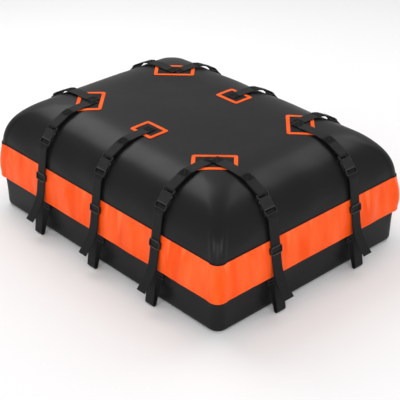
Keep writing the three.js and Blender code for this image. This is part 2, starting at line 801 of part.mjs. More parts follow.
const sides = [['front', -1, Math.PI], ['rear', 1, 0]];
for (const [side, sign, turn] of sides) {
  addStrap(`${side}_left`, upperShapes.corner, -longSideStrapX, sign * bagWidth / 2, turn);
  addStrap(`${side}_middle`, upperShapes.middle, 0, sign * bagWidth / 2, turn);
  addStrap(`${side}_right`, upperShapes.corner, longSideStrapX, sign * bagWidth / 2, turn);
}
const ends = [['right', 1, -Math.PI / 2], ['left', -1, Math.PI / 2]];
for (const [end, sign, turn] of ends) {
  addStrap(`${end}_front`, upperShapes.end, sign * bagLength / 2, -shortSideStrapY, turn);
  addStrap(`${end}_rear`, upperShapes.end, sign * bagLength / 2, shortSideStrapY, turn);
}

export default model;
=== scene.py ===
"""Dresses a soft roof cargo bag: its shell, weather flap, zip, patches, webbing and buckles."""

import math
import random
from contextlib import contextmanager

import bmesh
import bpy
import numpy as np
from bpy.props import FloatProperty, FloatVectorProperty, IntProperty, PointerProperty
from mathutils import Matrix, Vector


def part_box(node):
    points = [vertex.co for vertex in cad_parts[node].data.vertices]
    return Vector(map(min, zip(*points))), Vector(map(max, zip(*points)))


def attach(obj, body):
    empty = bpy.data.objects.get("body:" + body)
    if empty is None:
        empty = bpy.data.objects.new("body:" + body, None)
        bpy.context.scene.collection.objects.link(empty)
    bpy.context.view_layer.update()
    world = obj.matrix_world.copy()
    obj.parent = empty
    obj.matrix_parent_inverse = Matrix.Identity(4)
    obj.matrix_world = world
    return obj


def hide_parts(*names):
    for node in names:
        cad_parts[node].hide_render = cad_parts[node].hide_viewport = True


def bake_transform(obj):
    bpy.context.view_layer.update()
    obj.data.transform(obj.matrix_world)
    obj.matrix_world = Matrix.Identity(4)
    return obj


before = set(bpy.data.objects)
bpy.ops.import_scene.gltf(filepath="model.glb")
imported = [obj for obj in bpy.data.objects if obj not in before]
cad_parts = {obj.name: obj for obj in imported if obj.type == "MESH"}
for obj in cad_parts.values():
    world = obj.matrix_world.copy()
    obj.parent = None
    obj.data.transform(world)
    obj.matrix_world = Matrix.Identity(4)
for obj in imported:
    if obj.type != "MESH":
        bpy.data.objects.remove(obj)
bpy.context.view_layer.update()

bl_info = {
    "name": "Roof Cargo Bag",
    "version": (1, 0, 0),
    "blender": (4, 5, 0),
    "location": "3D View > Sidebar > Roof Bag",
    "description": "Builds the cloth, webbing and moulded parts of a soft roof cargo bag",
    "category": "Object",
}

BAG_LOW, BAG_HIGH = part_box("bag_body")
MM = 0.001

# The shell's form, in metres as the rest of this file
LENGTH = BAG_HIGH.x - BAG_LOW.x
WIDTH = BAG_HIGH.y - BAG_LOW.y
HEIGHT = BAG_HIGH.z
WALL_HEIGHT = 0.190
SHOULDER_RISE = HEIGHT - WALL_HEIGHT
SHOULDER_DEPTH = 0.250
CURVE_OUT = 2.95
CURVE_UP = 2.7
WALL_RADIUS = 0.038
RADIUS_GROWTH = 0.22
HEM_RADIUS = 0.016
CORNER_FULLNESS = 0.007

# The flap and the zip
FLAP_TOP = 0.254
FLAP_BOTTOM = 0.1225
FLAP_DROP = FLAP_TOP - FLAP_BOTTOM
FLAP_STAND_OFF = 0.0098
FLAP_STRAIGHT = 0.72
ZIP_HEIGHT = 0.168
ZIP_TAPE_WIDTH = 0.020
ZIP_TAPE_THICKNESS = 0.0008
ZIP_END_MARGIN = 0.030
HEM_EDGE = 0.012

# The patches
PATCH_ALONG_CORNER = 0.150
PATCH_ACROSS_CORNER = 0.096
PATCH_ALONG_SIDE = 0.108
PATCH_ACROSS_SIDE = 0.084
PATCH_BORDER = 0.013
PATCH_THICKNESS = 0.001
PATCH_SEAT_GAP = 0.0005
PATCH_CORNER_RADIUS = 0.009
PATCH_INNER_RADIUS = 0.002
CORNER_PATCH = (0.322, 0.200)
SIDE_PATCH_Y = 0.199

# The straps
LONG_SIDE_STRAP_X = 0.306
SHORT_SIDE_STRAP_Y = 0.190
WEBBING_WIDTH = 0.040
WEBBING_THICKNESS = 0.0016
SEAT_GAP = 0.0003
LAYER_STEP = WEBBING_THICKNESS + SEAT_GAP
STRAP_LIFT = 0.0095
STRAP_LIFT_START = 0.233
STRAP_LIFT_END = 0.110
FOLDED_LENGTH = 0.088
END_INSETS = {"corner": 0.243, "middle": 0.250, "end": 0.276}
OVER_PATCH = PATCH_SEAT_GAP + PATCH_THICKNESS + SEAT_GAP + WEBBING_THICKNESS / 2
OVER_WEBBING = OVER_PATCH + WEBBING_THICKNESS + SEAT_GAP
END_LIFTS = {"corner": OVER_PATCH, "middle": OVER_PATCH, "end": OVER_WEBBING}

# The side-release buckle, in its own frame: across, out and up
BUCKLE_HEIGHT = 0.362
BUCKLE_STAND_OFF = 0.008
BUCKLE_TOP = 0.036
BUCKLE_BOTTOM = -0.036
HALF_BUCKLE = 0.025
HALF_THICKNESS = 0.0055
RAIL_INNER = 0.0214
HOUSING_MOUTH = -0.0155
HOUSING_TOP = 0.0215
PLATE_INNER = 0.0037
BAR_DEPTH = 0.0045
BAR_THICKNESS = 0.0036
END_BAR_DEPTH = 0.004
END_BAR_INNER = 0.0027
LADDER_UP = -0.02575
LADDER_DEPTH = 0.0035
LADDER_THICKNESS = 0.003
LADDER_WRAP = LADDER_THICKNESS / 2 + SEAT_GAP + WEBBING_THICKNESS / 2
LADDER_OUT = END_BAR_INNER - SEAT_GAP - WEBBING_THICKNESS / 2 - LADDER_WRAP
MALE_BASE_BOTTOM = -0.0190
TONGUE_HALF = 0.0065

# The lower webbing and its two adjusters
BEND_BELOW_BUCKLE = 0.014
LOOP_REACH = 0.0375
LOOP_RADIUS = 0.0067
LOOP_FLOOR_GAP = 0.0007
ANCHOR_TOP = 0.150
ANCHOR_BOTTOM = 0.096
TAIL_START = 0.165
TAIL_REACH = 0.078
TAIL_END_HEIGHT = 0.068
TAIL_BEND_HEIGHT = 0.118
GLIDE_HEIGHT = 0.220
GLIDE_LENGTH = 0.030
HALF_WINDOW = 0.0213
GLIDE_STACK = 0.00205
GLIDE_FACE = 0.0048
ANCHOR_GLIDE_HEIGHT = 0.103
ANCHOR_GLIDE_LENGTH = 0.026
ANCHOR_GLIDE_FACE = 0.0052

# Colours of the sewing thread
THREADS = {"black": (0.018, 0.018, 0.019), "orange": (0.75, 0.10, 0.02)}

# The camera stands where the picture was taken from
CAMERA_LENS = 101.9
CAMERA_SENSOR = 36.0
CAMERA_AZIMUTH = 47.5718
CAMERA_ELEVATION = 29.6092
CAMERA_ROLL = -0.4006
CAMERA_DISTANCE = 4.0475
CAMERA_TARGET = (0.0528, -0.0178, 0.1090)

# Heights over which the cloth changes: a slope up, and for some a slope down again
FILLED_CORNERS = ((0.06, 0.17), (0.30, 0.40))
SAGGING_SHOULDER = ((0.262, 0.33), (0.375, 0.422))
UNDER_FLAP = ((0.10, 0.125), (0.262, 0.285))
START_OF_TOP = (0.40, 0.425)
ABOVE_HEM = (0.0, 0.03)
LYING_HEIGHT = 0.395

# Distances in plan: where the sag of a corner starts and is full, from the walls; half the
# size of the crown; how far from the middle of a strap the wrinkles start and are full
SAG_ZONE = (0.26, 0.05)
CROWN_HALF = (0.30, 0.16)
BESIDE_STRAP = (0.024, 0.060)
NEAR_WALL = 0.05

# How finely the forms are divided
CORNER_STEPS = 16
PATCH_STEPS = (30, 20, 8)

# The stage
LIGHT_AIM = (0.0, 0.0, 0.25)
REAR_LIGHT_SHARE = 0.75
HALF_FLOOR = 9.0


class ShellSettings(bpy.types.PropertyGroup):
    crown: FloatProperty(
        name="Crown", description="How far the middle of the top stands up",
        default=3.0 * MM, unit="LENGTH")
    corner_sag: FloatProperty(
        name="Corner Sag", description="How far the cloth sinks at the four top corners",
        default=1.5 * MM, unit="LENGTH")
    ripple: FloatProperty(
        name="Ripple", description="Height of the slow waves in the cloth",
        default=0.9 * MM, unit="LENGTH")
    seed: IntProperty(name="Seed", description="Picks the pattern of the waves", default=4)
    colour: FloatVectorProperty(
        name="Colour", description="Colour of the coated cloth",
        default=(0.0062, 0.0062, 0.0064), subtype="COLOR", min=0.0, max=1.0)
    roughness: FloatProperty(
        name="Roughness", description="How dull the coating is",
        default=0.42, min=0.0, max=1.0, subtype="FACTOR")


class FlapSettings(bpy.types.PropertyGroup):
    wrinkle: FloatProperty(
        name="Wrinkle", description="Height of the slow upright wrinkles",
        default=2.4 * MM, unit="LENGTH")
    pucker: FloatProperty(
        name="Pucker", description="Height of the short folds under the top seam",
        default=4.5 * MM, unit="LENGTH")
    pucker_count: IntProperty(
        name="Puckers", description="How many short folds lie round the bag", default=52)
    corner_dip: FloatProperty(
        name="Corner Dip", description="How much lower the flap hangs at the corners",
        default=2.0 * MM, unit="LENGTH")
    corner_flare: FloatProperty(
        name="Corner Flare", description="How much further out its corners stand at the bottom",
        default=3.0 * MM, unit="LENGTH")
    hem_width: FloatProperty(
        name="Hem Width", description="Width of the folded hems",
        default=9.0 * MM, unit="LENGTH")
    seed: IntProperty(name="Seed", description="Picks the pattern of the wrinkles", default=11)
    stitch_spacing: FloatProperty(
        name="Stitch Spacing", description="Distance between the stitches of a hem",
        default=5.5 * MM, unit="LENGTH")
    colour: FloatVectorProperty(
        name="Colour", description="Colour of the flap",
        default=(0.93, 0.079, 0.003), subtype="COLOR", min=0.0, max=1.0)
    roughness: FloatProperty(
        name="Roughness", description="How dull the flap's coating is",
        default=0.36, min=0.0, max=1.0, subtype="FACTOR")


class ZipSettings(bpy.types.PropertyGroup):
    tooth_pitch: FloatProperty(
        name="Tooth Pitch", description="Distance between two teeth of one side",
        default=3.4 * MM, unit="LENGTH")
    colour: FloatVectorProperty(
        name="Colour", description="Colour of the tape and the teeth",
        default=(0.010, 0.010, 0.011), subtype="COLOR", min=0.0, max=1.0)


class PatchSettings(bpy.types.PropertyGroup):
    stitch_spacing: FloatProperty(
        name="Stitch Spacing", description="Distance between the stitches of a patch",
        default=4.0 * MM, unit="LENGTH")
    colour: FloatVectorProperty(
        name="Colour", description="Colour of the outline of a patch",
        default=(0.90, 0.090, 0.003), subtype="COLOR", min=0.0, max=1.0)


class WebbingSettings(bpy.types.PropertyGroup):
    rib_pitch: FloatProperty(
        name="Rib Pitch", description="Distance between two ribs of the weave",
        default=2.0 * MM, unit="LENGTH")
    stitch_spacing: FloatProperty(
        name="Stitch Spacing", description="Distance between the stitches of a seam",
        default=3.4 * MM, unit="LENGTH")
    box_length: FloatProperty(
        name="Box Length", description="Length of a sewn box on the webbing",
        default=30.0 * MM, unit="LENGTH")
    colour: FloatVectorProperty(
        name="Colour", description="Colour of the webbing",
        default=(0.0078, 0.0078, 0.008), subtype="COLOR", min=0.0, max=1.0)


class HardwareSettings(bpy.types.PropertyGroup):
    edge_round: FloatProperty(
        name="Edge Round", description="Radius of the edges of the moulded parts",
        default=0.55 * MM, unit="LENGTH")
    colour: FloatVectorProperty(
        name="Colour", description="Colour of the moulded parts",
        default=(0.0095, 0.0095, 0.0098), subtype="COLOR", min=0.0, max=1.0)
    roughness: FloatProperty(
        name="Roughness", description="How dull the moulded parts are",
        default=0.38, min=0.0, max=1.0, subtype="FACTOR")


class StageSettings(bpy.types.PropertyGroup):
    floor_colour: FloatVectorProperty(
        name="Floor Colour", description="Colour of the floor",
        default=(0.82, 0.82, 0.82), subtype="COLOR", min=0.0, max=1.0)
    top_power: FloatProperty(
        name="Top Light", description="Power of each of the two high lights, in watts",
        default=46.0, min=0.0)
    side_power: FloatProperty(
        name="Side Light", description="Power of the two lights beside the camera, in watts",
        default=34.0, min=0.0)
    corner_power: FloatProperty(
        name="Corner Light", description="Power of the low light that picks out the near corner, in watts",
        default=45.0, min=0.0)
    world_strength: FloatProperty(
        name="Room Light", description="Strength of the even light of the room",
        default=0.6, min=0.0)


def smooth_step(low, high, value):
    share = np.clip((value - low) / (high - low), 0.0, 1.0)
    return share * share * (3.0 - 2.0 * share)


def band(value, rise, fall):
    """1 between a slope up and a slope down, each given by its two ends."""
    return smooth_step(*rise, value) * (1 - smooth_step(*fall, value))


def inset_at_height(height):
    climb = np.clip((height - WALL_HEIGHT) / SHOULDER_RISE, 0.0, 1.0)
    return SHOULDER_DEPTH * (1.0 - (1.0 - climb ** CURVE_UP) ** (1.0 / CURVE_OUT))


def height_at_inset(inset):
    left = np.clip(1.0 - inset / SHOULDER_DEPTH, 0.0, 1.0) ** CURVE_OUT
    return WALL_HEIGHT + SHOULDER_RISE * (1.0 - left) ** (1.0 / CURVE_UP)


def normal_at_inset(inset):
    step = 0.5 * MM
    rise = height_at_inset(inset + step) - height_at_inset(inset - step)
    normal = np.array([rise, 2.0 * step])
    return normal / np.linalg.norm(normal)


def past_corner(x, y, inset):
    """The corner radius at an inset, and how far places lie past where the corners begin."""
    radius = WALL_RADIUS + RADIUS_GROWTH * inset
    past_x = np.maximum(0.0, np.abs(x) - (LENGTH / 2 - inset - radius))
    past_y = np.maximum(0.0, np.abs(y) - (WIDTH / 2 - inset - radius))
    return radius, past_x, past_y


def corner_push(x, y, z):
    """How far the filled corners push the cloth out between the hem and the shoulder."""
    _, past_x, past_y = past_corner(x, y, inset_at_height(z))
    share = 2 * past_x * past_y / np.maximum(past_x ** 2 + past_y ** 2, MM ** 2)
    return CORNER_FULLNESS * share * band(z, *FILLED_CORNERS)


def top_height(x, y):
    """The height of the shell over places in plan, given as arrays."""
    def is_inside(inset):
        radius, past_x, past_y = past_corner(x, y, inset)
        return np.hypot(past_x, past_y) <= radius

    inner = np.zeros_like(x)
    outer = np.full_like(x, SHOULDER_DEPTH)
    for _ in range(30):
        middle = (inner + outer) / 2
        inside = is_inside(middle)
        inner = np.where(inside, middle, inner)
        outer = np.where(inside, outer, middle)
    return height_at_inset(inner)


def ring(half_x, half_y, radius, long_steps, short_steps, corner_steps):
    """Points round a rounded rectangle, anticlockwise, with their outward directions."""
    points = []
    normals = []
    signs = np.array([(1, -1), (1, 1), (-1, 1), (-1, -1)])
    centres = signs * (half_x - radius, half_y - radius)
    for index, centre in enumerate(centres):
        steps = long_steps if index % 2 else short_steps
        round_corner = np.arange(corner_steps) / corner_steps
        turns = (index - 1 + np.concatenate([round_corner, np.ones(steps)])) * (math.pi / 2)
        along_side = np.concatenate([np.zeros(corner_steps), np.arange(steps) / steps])[:, None]
        directions = np.stack([np.cos(turns), np.sin(turns)], axis=1)
        points.append(centre + radius * directions + along_side * (centres[(index + 1) % 4] - centre))
        normals.append(directions)
    return np.concatenate(points), np.concatenate(normals)


def closed(line):
    return np.vstack([line, line[:1]])


def lengths_along(line):
    """The distance along a line at each of its points."""
    return np.concatenate([[0.0], np.cumsum(np.linalg.norm(np.diff(line, axis=0), axis=1))])


def slow_waves(positions, lengths, count, seed):
    """A sum of sine waves in random directions, about one high, at points in space."""
    dice = random.Random(seed)
    total = np.zeros(len(positions))
    for _ in range(count):
        direction = Vector((dice.gauss(0, 1), dice.gauss(0, 1), dice.gauss(0, 1))).normalized()
        phase = dice.uniform(0, 2 * math.pi)
        wave = 2 * math.pi / dice.uniform(*lengths)
        total += np.sin(positions @ np.array(direction) * wave + phase)
    return total / math.sqrt(count / 2)


def closed_waves(along, perimeter, turns, seed):
    """A sum of sine waves that closes on itself after one perimeter, about one high."""
    dice = random.Random(seed)
    low, high = turns
    total = np.zeros_like(along)
    for turn in range(low, high):
        size = dice.uniform(0.3, 1.0)
        total += size * np.sin(2 * math.pi * turn * along / perimeter + dice.uniform(0, 2 * math.pi))
    return total / math.sqrt((high - low) / 4)


def link_piece(name, mesh):
    piece = bpy.data.objects.new(name, mesh)
    bpy.context.scene.collection.objects.link(piece)
    return piece


def set_smooth(mesh, angle=40.0):
    mesh.polygons.foreach_set("use_smooth", np.ones(len(mesh.polygons), bool))
    mesh.set_sharp_from_angle(angle=math.radians(angle))


def mesh_piece(name, vertices, faces, material, corner_uv=None, angle=40.0):
    """A mesh object from its vertices and faces, with one UV pair for each face corner."""
    mesh = bpy.data.meshes.new(name)
    mesh.from_pydata([tuple(v) for v in vertices], [], [tuple(f) for f in faces])
    if corner_uv is not None:
        layer = mesh.uv_layers.new(name="UVMap")
        layer.data.foreach_set("uv", np.asarray(corner_uv, np.float32).ravel())
    mesh.materials.append(material)
    mesh.validate()
    set_smooth(mesh, angle)
    return link_piece(name, mesh)


def grid(rows, columns, closed_rows, closed_columns):
    """Faces of a grid of vertices, with each corner's row and column counted past the seam."""
    faces = []
    corners = []
    for i in range(rows if closed_rows else rows - 1):
        for j in range(columns if closed_columns else columns - 1):
            square = [(i, j), (i, j + 1), (i + 1, j + 1), (i + 1, j)]
            faces.append([(a % rows) * columns + b % columns for a, b in square])
            corners.append(square)
    return faces, np.array(corners).reshape(-1, 2)


def rectangle(low_a, high_a, low_b, high_b):
    """The corners of a rectangle, anticlockwise."""
    return [(low_a, low_b), (high_a, low_b), (high_a, high_b), (low_a, high_b)]


def end_faces(rows, columns):
    """The faces that close the first and the last row of a grid of vertices."""
    return [list(range(columns))[::-1], [(rows - 1) * columns + j for j in range(columns)]]


@contextmanager
def editing(mesh):
    """The mesh as a bmesh, which is written back afterwards."""
    work = bmesh.new()
    work.from_mesh(mesh)
    yield work
    work.to_mesh(mesh)
    work.free()


def point_outwards(mesh):
    """Turns the faces of a closed mesh outwards."""
    with editing(mesh) as work:
        bmesh.ops.recalc_face_normals(work, faces=work.faces)
        if work.calc_volume(signed=True) < 0:
            bmesh.ops.reverse_faces(work, faces=work.faces)


def evaluated_mesh(piece):
    """A new mesh of a piece with its modifiers applied."""
    bpy.context.view_layer.update()
    evaluated = piece.evaluated_get(bpy.context.evaluated_depsgraph_get())
    return bpy.data.meshes.new_from_object(evaluated)


def plain_solid(name, vertices, faces):
    """A closed mesh without a finish, its faces turned outwards."""
    mesh = bpy.data.meshes.new(name)
    mesh.from_pydata(vertices, [], faces)
    point_outwards(mesh)
    return link_piece(name, mesh)


def skin(name, rows, material, uv_at, closed_ways=(True, True), ends=(), end_uv=(), angle=60.0):
    """A closed piece that joins rows of points; uv_at gives U and V at rows and columns."""
    faces, corners = grid(len(rows), len(rows[0]), *closed_ways)
    uv = np.stack(uv_at(corners[:, 0], corners[:, 1]), axis=1)
    if len(end_uv):
        uv = np.vstack([uv, end_uv])
    piece = mesh_piece(name, np.concatenate(rows), faces + list(ends), material, uv, angle)
    point_outwards(piece.data)
    return piece


class Finish:
    """A material in the making; what is the same all over is set on the shader's sockets."""

    def __init__(self, name, colour, roughness, specular, **others):
        self.material = bpy.data.materials.new(name)
        self.material.use_nodes = True
        self.tree = self.material.node_tree
        self.shader = self.tree.nodes["Principled BSDF"]
        self.fill(self.shader, Base_Color=(*colour, 1.0), Roughness=roughness,
                  Specular_IOR_Level=specular, **others)

    def feed(self, socket, value):
        """Sets a socket to a value, or links it to the socket that the value comes from."""
        if isinstance(value, bpy.types.NodeSocket):
            self.tree.links.new(value, socket)
        else:
            socket.default_value = value

    def fill(self, node, **inputs):
        for name, value in inputs.items():
            self.feed(node.inputs[name.replace("_", " ")], value)

    def node(self, kind, output, **inputs):
        node = self.tree.nodes.new(kind)
        self.fill(node, **inputs)
        return node.outputs[output]

    def place(self):
        return self.node("ShaderNodeTexCoord", "Object")

    def uv(self):
        return self.node("ShaderNodeTexCoord", "UV")

    def attribute(self, name):
        node = self.tree.nodes.new("ShaderNodeAttribute")
        node.attribute_name = name
        return node.outputs["Fac"]

    def stretched(self, source, scale):
        return self.node("ShaderNodeMapping", "Vector", Vector=source, Scale=scale)

    def noise(self, source, scale, detail, roughness=0.5):
        return self.node("ShaderNodeTexNoise", "Fac", Vector=source, Scale=scale, Detail=detail,
                         Roughness=roughness)

    def ramp(self, source, low, high, low_value, high_value):
        return self.node("ShaderNodeMapRange", "Result", Value=source, From_Min=low, From_Max=high,
                         To_Min=low_value, To_Max=high_value)

    def combine(self, operation, *values):
        node = self.tree.nodes.new("ShaderNodeMath")
        node.operation = operation
        for socket, value in zip(node.inputs, values):
            self.feed(socket, value)
        return node.outputs["Value"]

    def times(self, first, second):
        return self.combine("MULTIPLY", first, second)

    def plus(self, first, second):
        return self.combine("ADD", first, second)

    def blend(self, factor, low, high):
        """A colour between two others."""
        mix = self.tree.nodes.new("ShaderNodeMix")
        mix.data_type = "RGBA"
        sockets = {socket.identifier: socket for socket in mix.inputs}
        self.feed(sockets["Factor_Float"], factor)
        self.feed(sockets["A_Color"], (*low, 1.0))
        self.feed(sockets["B_Color"], (*high, 1.0))
        return next(socket for socket in mix.outputs if socket.type == "RGBA")

    def shades(self, factor, colour, low, high):
        """A colour between a low and a high multiple of it."""
        return self.blend(factor, scaled_colour(colour, low), scaled_colour(colour, high))

    def ribs(self, axis, pitch):
        """Even ribs across one axis of the UV map in metres, from 0 to 1."""
        across = self.node("ShaderNodeSeparateXYZ", axis, Vector=self.uv())
        wave = self.combine("SINE", self.times(across, 2 * math.pi / pitch))
        return self.ramp(wave, -1.0, 1.0, 0.0, 1.0)

    def weave(self, pitch):
        return self.times(self.ribs("X", pitch), self.ribs("Y", pitch))

    def smeared(self, roughness, scale, detail, graininess, spread):
        """The roughness, lower and higher in clouds."""
        smear = self.noise(self.place(), scale, detail, graininess)
        return self.ramp(smear, 0.3, 0.7, roughness - spread[0], roughness + spread[1])

    def finished(self, height, distance, strength, **inputs):
        """The material, once its shader has a bump from a height and its other inputs."""
        normal = self.node("ShaderNodeBump", "Normal", Strength=strength, Distance=distance, Height=height)
        self.fill(self.shader, Normal=normal, **inputs)
        return self.material


def scaled_colour(colour, factor):
    return tuple(min(1.0, c * factor) for c in colour)


def coated_cloth(name, settings):
    """Satin black coating over a woven base, which shows through as a fine grid."""
    colour = settings.colour
    own = Finish(name, colour, settings.roughness, 0.11, Coat_Weight=0.12, Coat_Roughness=0.26)
    cloud = own.noise(own.place(), 2.6, 3.0)
    height = own.plus(own.times(own.weave(1.6 * MM), 0.35), own.noise(own.place(), 160.0, 2.0))
    return own.finished(
        height, 0.10 * MM, 0.5,
        Base_Color=own.shades(cloud, colour, 0.88, 1.16),
        Roughness=own.smeared(settings.roughness, 9.0, 5.0, 0.6, (0.035, 0.05)))


def patch_cloth(name, settings):
    """The black backing of a patch, a heavier weave than the shell's."""
    colour = settings.colour
    own = Finish(name, scaled_colour(colour, 0.8), 0.62, 0.15)
    weave = own.weave(1.3 * MM)
    return own.finished(weave, 0.25 * MM, 0.7, Base_Color=own.shades(weave, colour, 0.6, 1.1))


def painted_pucker_highlights(own):
    """Painted highlights like those on puckers, which hang from the top seam and taper downwards, from 0 to
    1.
    """
    ridges = own.noise(own.stretched(own.uv(), (1.0, 0.14, 1.0)), 26.0, 1.0)
    depth = own.times(own.node("ShaderNodeSeparateXYZ", "Y", Vector=own.uv()), 3.2)
    return own.ramp(own.combine("SUBTRACT", ridges, depth), 0.50, 0.66, 0.0, 1.0)


def orange_vinyl(name, colour, roughness, with_pucker_highlights=False):
    """Orange coated cloth, a little duller in patches. Its colour runs in upright bands of lighter and deeper
    orange: partly uneven tone, partly painted highlight and shade of wrinkles.
    """
    own = Finish(name, colour, roughness, 0.05, Coat_Weight=0.12, Coat_Roughness=0.2)
    # Upright bands of painted wrinkle highlight and shade, mixed with some uneven tone
    wrinkle_light_and_tone = own.noise(own.stretched(own.place(), (1.0, 1.0, 0.22)), 17.0, 3.0)
    highlight_colour = (colour[0], colour[1] * 1.35, colour[2] + 0.008)
    share = own.ramp(wrinkle_light_and_tone, 0.34, 0.68, 0.0, 0.75 if with_pucker_highlights else 1.0)
    if with_pucker_highlights:
        # On the flap, painted pucker highlights under the top seam, paler still
        share = own.plus(share, painted_pucker_highlights(own))
        highlight_colour = (1.0, colour[1] * 1.75, colour[2] + 0.03)
    height = own.plus(own.times(own.weave(1.5 * MM), 0.4), own.noise(own.place(), 240.0, 2.0))
    return own.finished(
        height, 0.08 * MM, 0.45,
        Base_Color=own.blend(share, scaled_colour(colour, 0.9), highlight_colour),
        Roughness=own.smeared(roughness, 22.0, 4.0, 0.5, (0.04, 0.05)))


def woven_webbing(name, settings):
    """Flat nylon webbing: ribs across it, finer yarns along it, and painted shade over its sewn stretches."""
    colour, pitch = settings.colour, settings.rib_pitch
    own = Finish(name, colour, 0.62, 0.14, Sheen_Weight=0.02, Sheen_Roughness=0.4)
    yarns = own.plus(own.times(own.ribs("X", pitch * 0.9), 0.5), 0.5)
    weave = own.times(own.ribs("Y", pitch), yarns)
    fuzz = own.noise(own.place(), 420.0, 3.0, 0.7)
    shade = own.plus(own.times(weave, 0.75), own.times(fuzz, 0.35))
    # Painted shade: the sewn stretches of the strap are darkened to a tenth
    sewn_and_shaded = own.attribute("sewn_and_shaded")
    shade = own.times(shade, own.ramp(sewn_and_shaded, 0.0, 1.0, 1.0, 0.1))
    return own.finished(
        weave, 0.35 * MM, 0.9,
        Base_Color=own.shades(shade, colour, 0.35, 1.8),
        Roughness=own.ramp(sewn_and_shaded, 0.0, 1.0, 0.58, 0.95))


def moulded_plastic(name, colour, roughness):
    """Moulded nylon with a fine eroded grain, and a painted highlight along its edges."""
    own = Finish(name, colour, roughness, 0.26)
    cloud = own.noise(own.place(), 40.0, 3.0)
    # Painted highlight: the narrow faces along the edges are made up to five times lighter
    light = own.plus(own.times(cloud, 0.08), own.attribute("rim"))
    return own.finished(
        own.noise(own.place(), 900.0, 2.0), 0.06 * MM, 0.5,
        Base_Color=own.shades(light, colour, 0.95, 5.0),
        Roughness=own.smeared(roughness, 40.0, 3.0, 0.5, (0.04, 0.06)))


def twisted_thread(name, colour):
    own = Finish(name, colour, 0.55, 0.4, Sheen_Weight=0.08)
    fibres = own.noise(own.place(), 1500.0, 2.0)
    return own.finished(fibres, 0.1 * MM, 0.6, Base_Color=own.shades(fibres, colour, 0.7, 1.3))


def zip_cloth(name, colour):
    """The ribbed cloth of the zip's tape."""
    own = Finish(name, colour, 0.8, 0.3)
    ribs = own.ribs("X", 0.9 * MM)
    return own.finished(ribs, 0.15 * MM, 0.7, Base_Color=own.shades(ribs, colour, 0.7, 1.3))


def finish(name, make, *values):
    """The material of that name, made on its first use."""
    return bpy.data.materials.get(name) or make(name, *values)


def hardware_plastic():
    settings = bpy.context.scene.roof_bag_hardware
    return finish("Moulded plastic", moulded_plastic, settings.colour, settings.roughness)


# What repeats along a path: stitches and zip teeth

def path_tree():
    """Nodes that set one element along each edge path, its X along it and its Z outwards."""
    tree = bpy.data.node_groups.new("Along a path", "GeometryNodeTree")
    sockets = {}
    for name, kind in (("Paths", "Geometry"), ("Spacing", "Float"), ("Looseness", "Float"),
                       ("Seed", "Int"), ("Element", "Object"), ("Finish", "Material")):
        socket = tree.interface.new_socket(name, in_out="INPUT", socket_type=f"NodeSocket{kind}")
        sockets[name] = socket.identifier
    tree.interface.new_socket("Geometry", in_out="OUTPUT", socket_type="NodeSocketGeometry")

    def add(kind, first_input=None, **options):
        node = tree.nodes.new(kind)
        for option, value in options.items():
            setattr(node, option, value)
        if first_input is not None:
            node.inputs[0].default_value = first_input
        return node

    start = add("NodeGroupInput")
    end = add("NodeGroupOutput")
    curve = add("GeometryNodeMeshToCurve")
    resample = add("GeometryNodeResampleCurve", mode="LENGTH")
    tangent = add("GeometryNodeInputTangent")
    outwards = add("GeometryNodeInputNamedAttribute", "outwards", data_type="FLOAT_VECTOR")
    axes = add("FunctionNodeAxesToRotation", primary_axis="Z", secondary_axis="X")
    lowest = add("ShaderNodeVectorMath", (-1.0, -1.0, -1.0), operation="SCALE")
    highest = add("ShaderNodeVectorMath", (1.0, 1.0, 1.0), operation="SCALE")
    dice = add("FunctionNodeRandomValue", data_type="FLOAT_VECTOR")
    wobble = add("FunctionNodeEulerToRotation")
    turned = add("FunctionNodeRotateRotation", rotation_space="LOCAL")
    element = add("GeometryNodeObjectInfo")
    instances = add("GeometryNodeInstanceOnPoints")
    realize = add("GeometryNodeRealizeInstances")
    material = add("GeometryNodeSetMaterial")
    for source, output, target, socket in (
            (start, "Paths", curve, "Mesh"),
            (curve, "Curve", resample, "Curve"),
            (start, "Spacing", resample, "Length"),
            (resample, "Curve", instances, "Points"),
            (start, "Element", element, "Object"),
            (element, "Geometry", instances, "Instance"),
            (outwards, "Attribute", axes, "Primary Axis"),
            (tangent, "Tangent", axes, "Secondary Axis"),
            (start, "Looseness", lowest, "Scale"),
            (start, "Looseness", highest, "Scale"),
            (lowest, "Vector", dice, "Min"),
            (highest, "Vector", dice, "Max"),
            (start, "Seed", dice, "Seed"),
            (dice, "Value", wobble, "Euler"),
            (axes, "Rotation", turned, "Rotation"),
            (wobble, "Rotation", turned, "Rotate By"),
            (turned, "Rotation", instances, "Rotation"),
            (instances, "Instances", realize, "Geometry"),
            (realize, "Geometry", material, "Geometry"),
            (start, "Finish", material, "Material"),
            (material, "Geometry", end, "Geometry")):
        tree.links.new(source.outputs[output], target.inputs[socket])
    return tree, sockets


def repeat_along(name, paths, element, material, spacing, looseness=0.0, seed=1):
    """One plain mesh of an element set along paths, each a pair of points and outward directions."""
    vertices = np.concatenate([points for points, _ in paths])
    outwards = np.concatenate([directions for _, directions in paths])
    edges = []
    first = 0
    for points, _ in paths:
        edges += [(first + i, first + i + 1) for i in range(len(points) - 1)]
        first += len(points)
    mesh = bpy.data.meshes.new(name + "_paths")
    mesh.from_pydata([tuple(v) for v in vertices], edges, [])
    attribute = mesh.attributes.new("outwards", "FLOAT_VECTOR", "POINT")
    attribute.data.foreach_set("vector", np.asarray(outwards, np.float32).ravel())
    carrier = link_piece(name + "_paths", mesh)
    modifier = carrier.modifiers.new("Along a path", "NODES")
    modifier.node_group, sockets = path_tree()
    for socket_name, value in (("Spacing", spacing), ("Looseness", looseness), ("Seed", seed),
                               ("Element", element), ("Finish", material)):
        modifier[sockets[socket_name]] = value
    result = evaluated_mesh(carrier)
    if len(result.polygons) == 0:
        raise RuntimeError(f"{name} has nothing along its paths")
    result.name = name
    set_smooth(result)
    bpy.data.objects.remove(carrier)
    bpy.data.objects.remove(element)
    return link_piece(name, result)


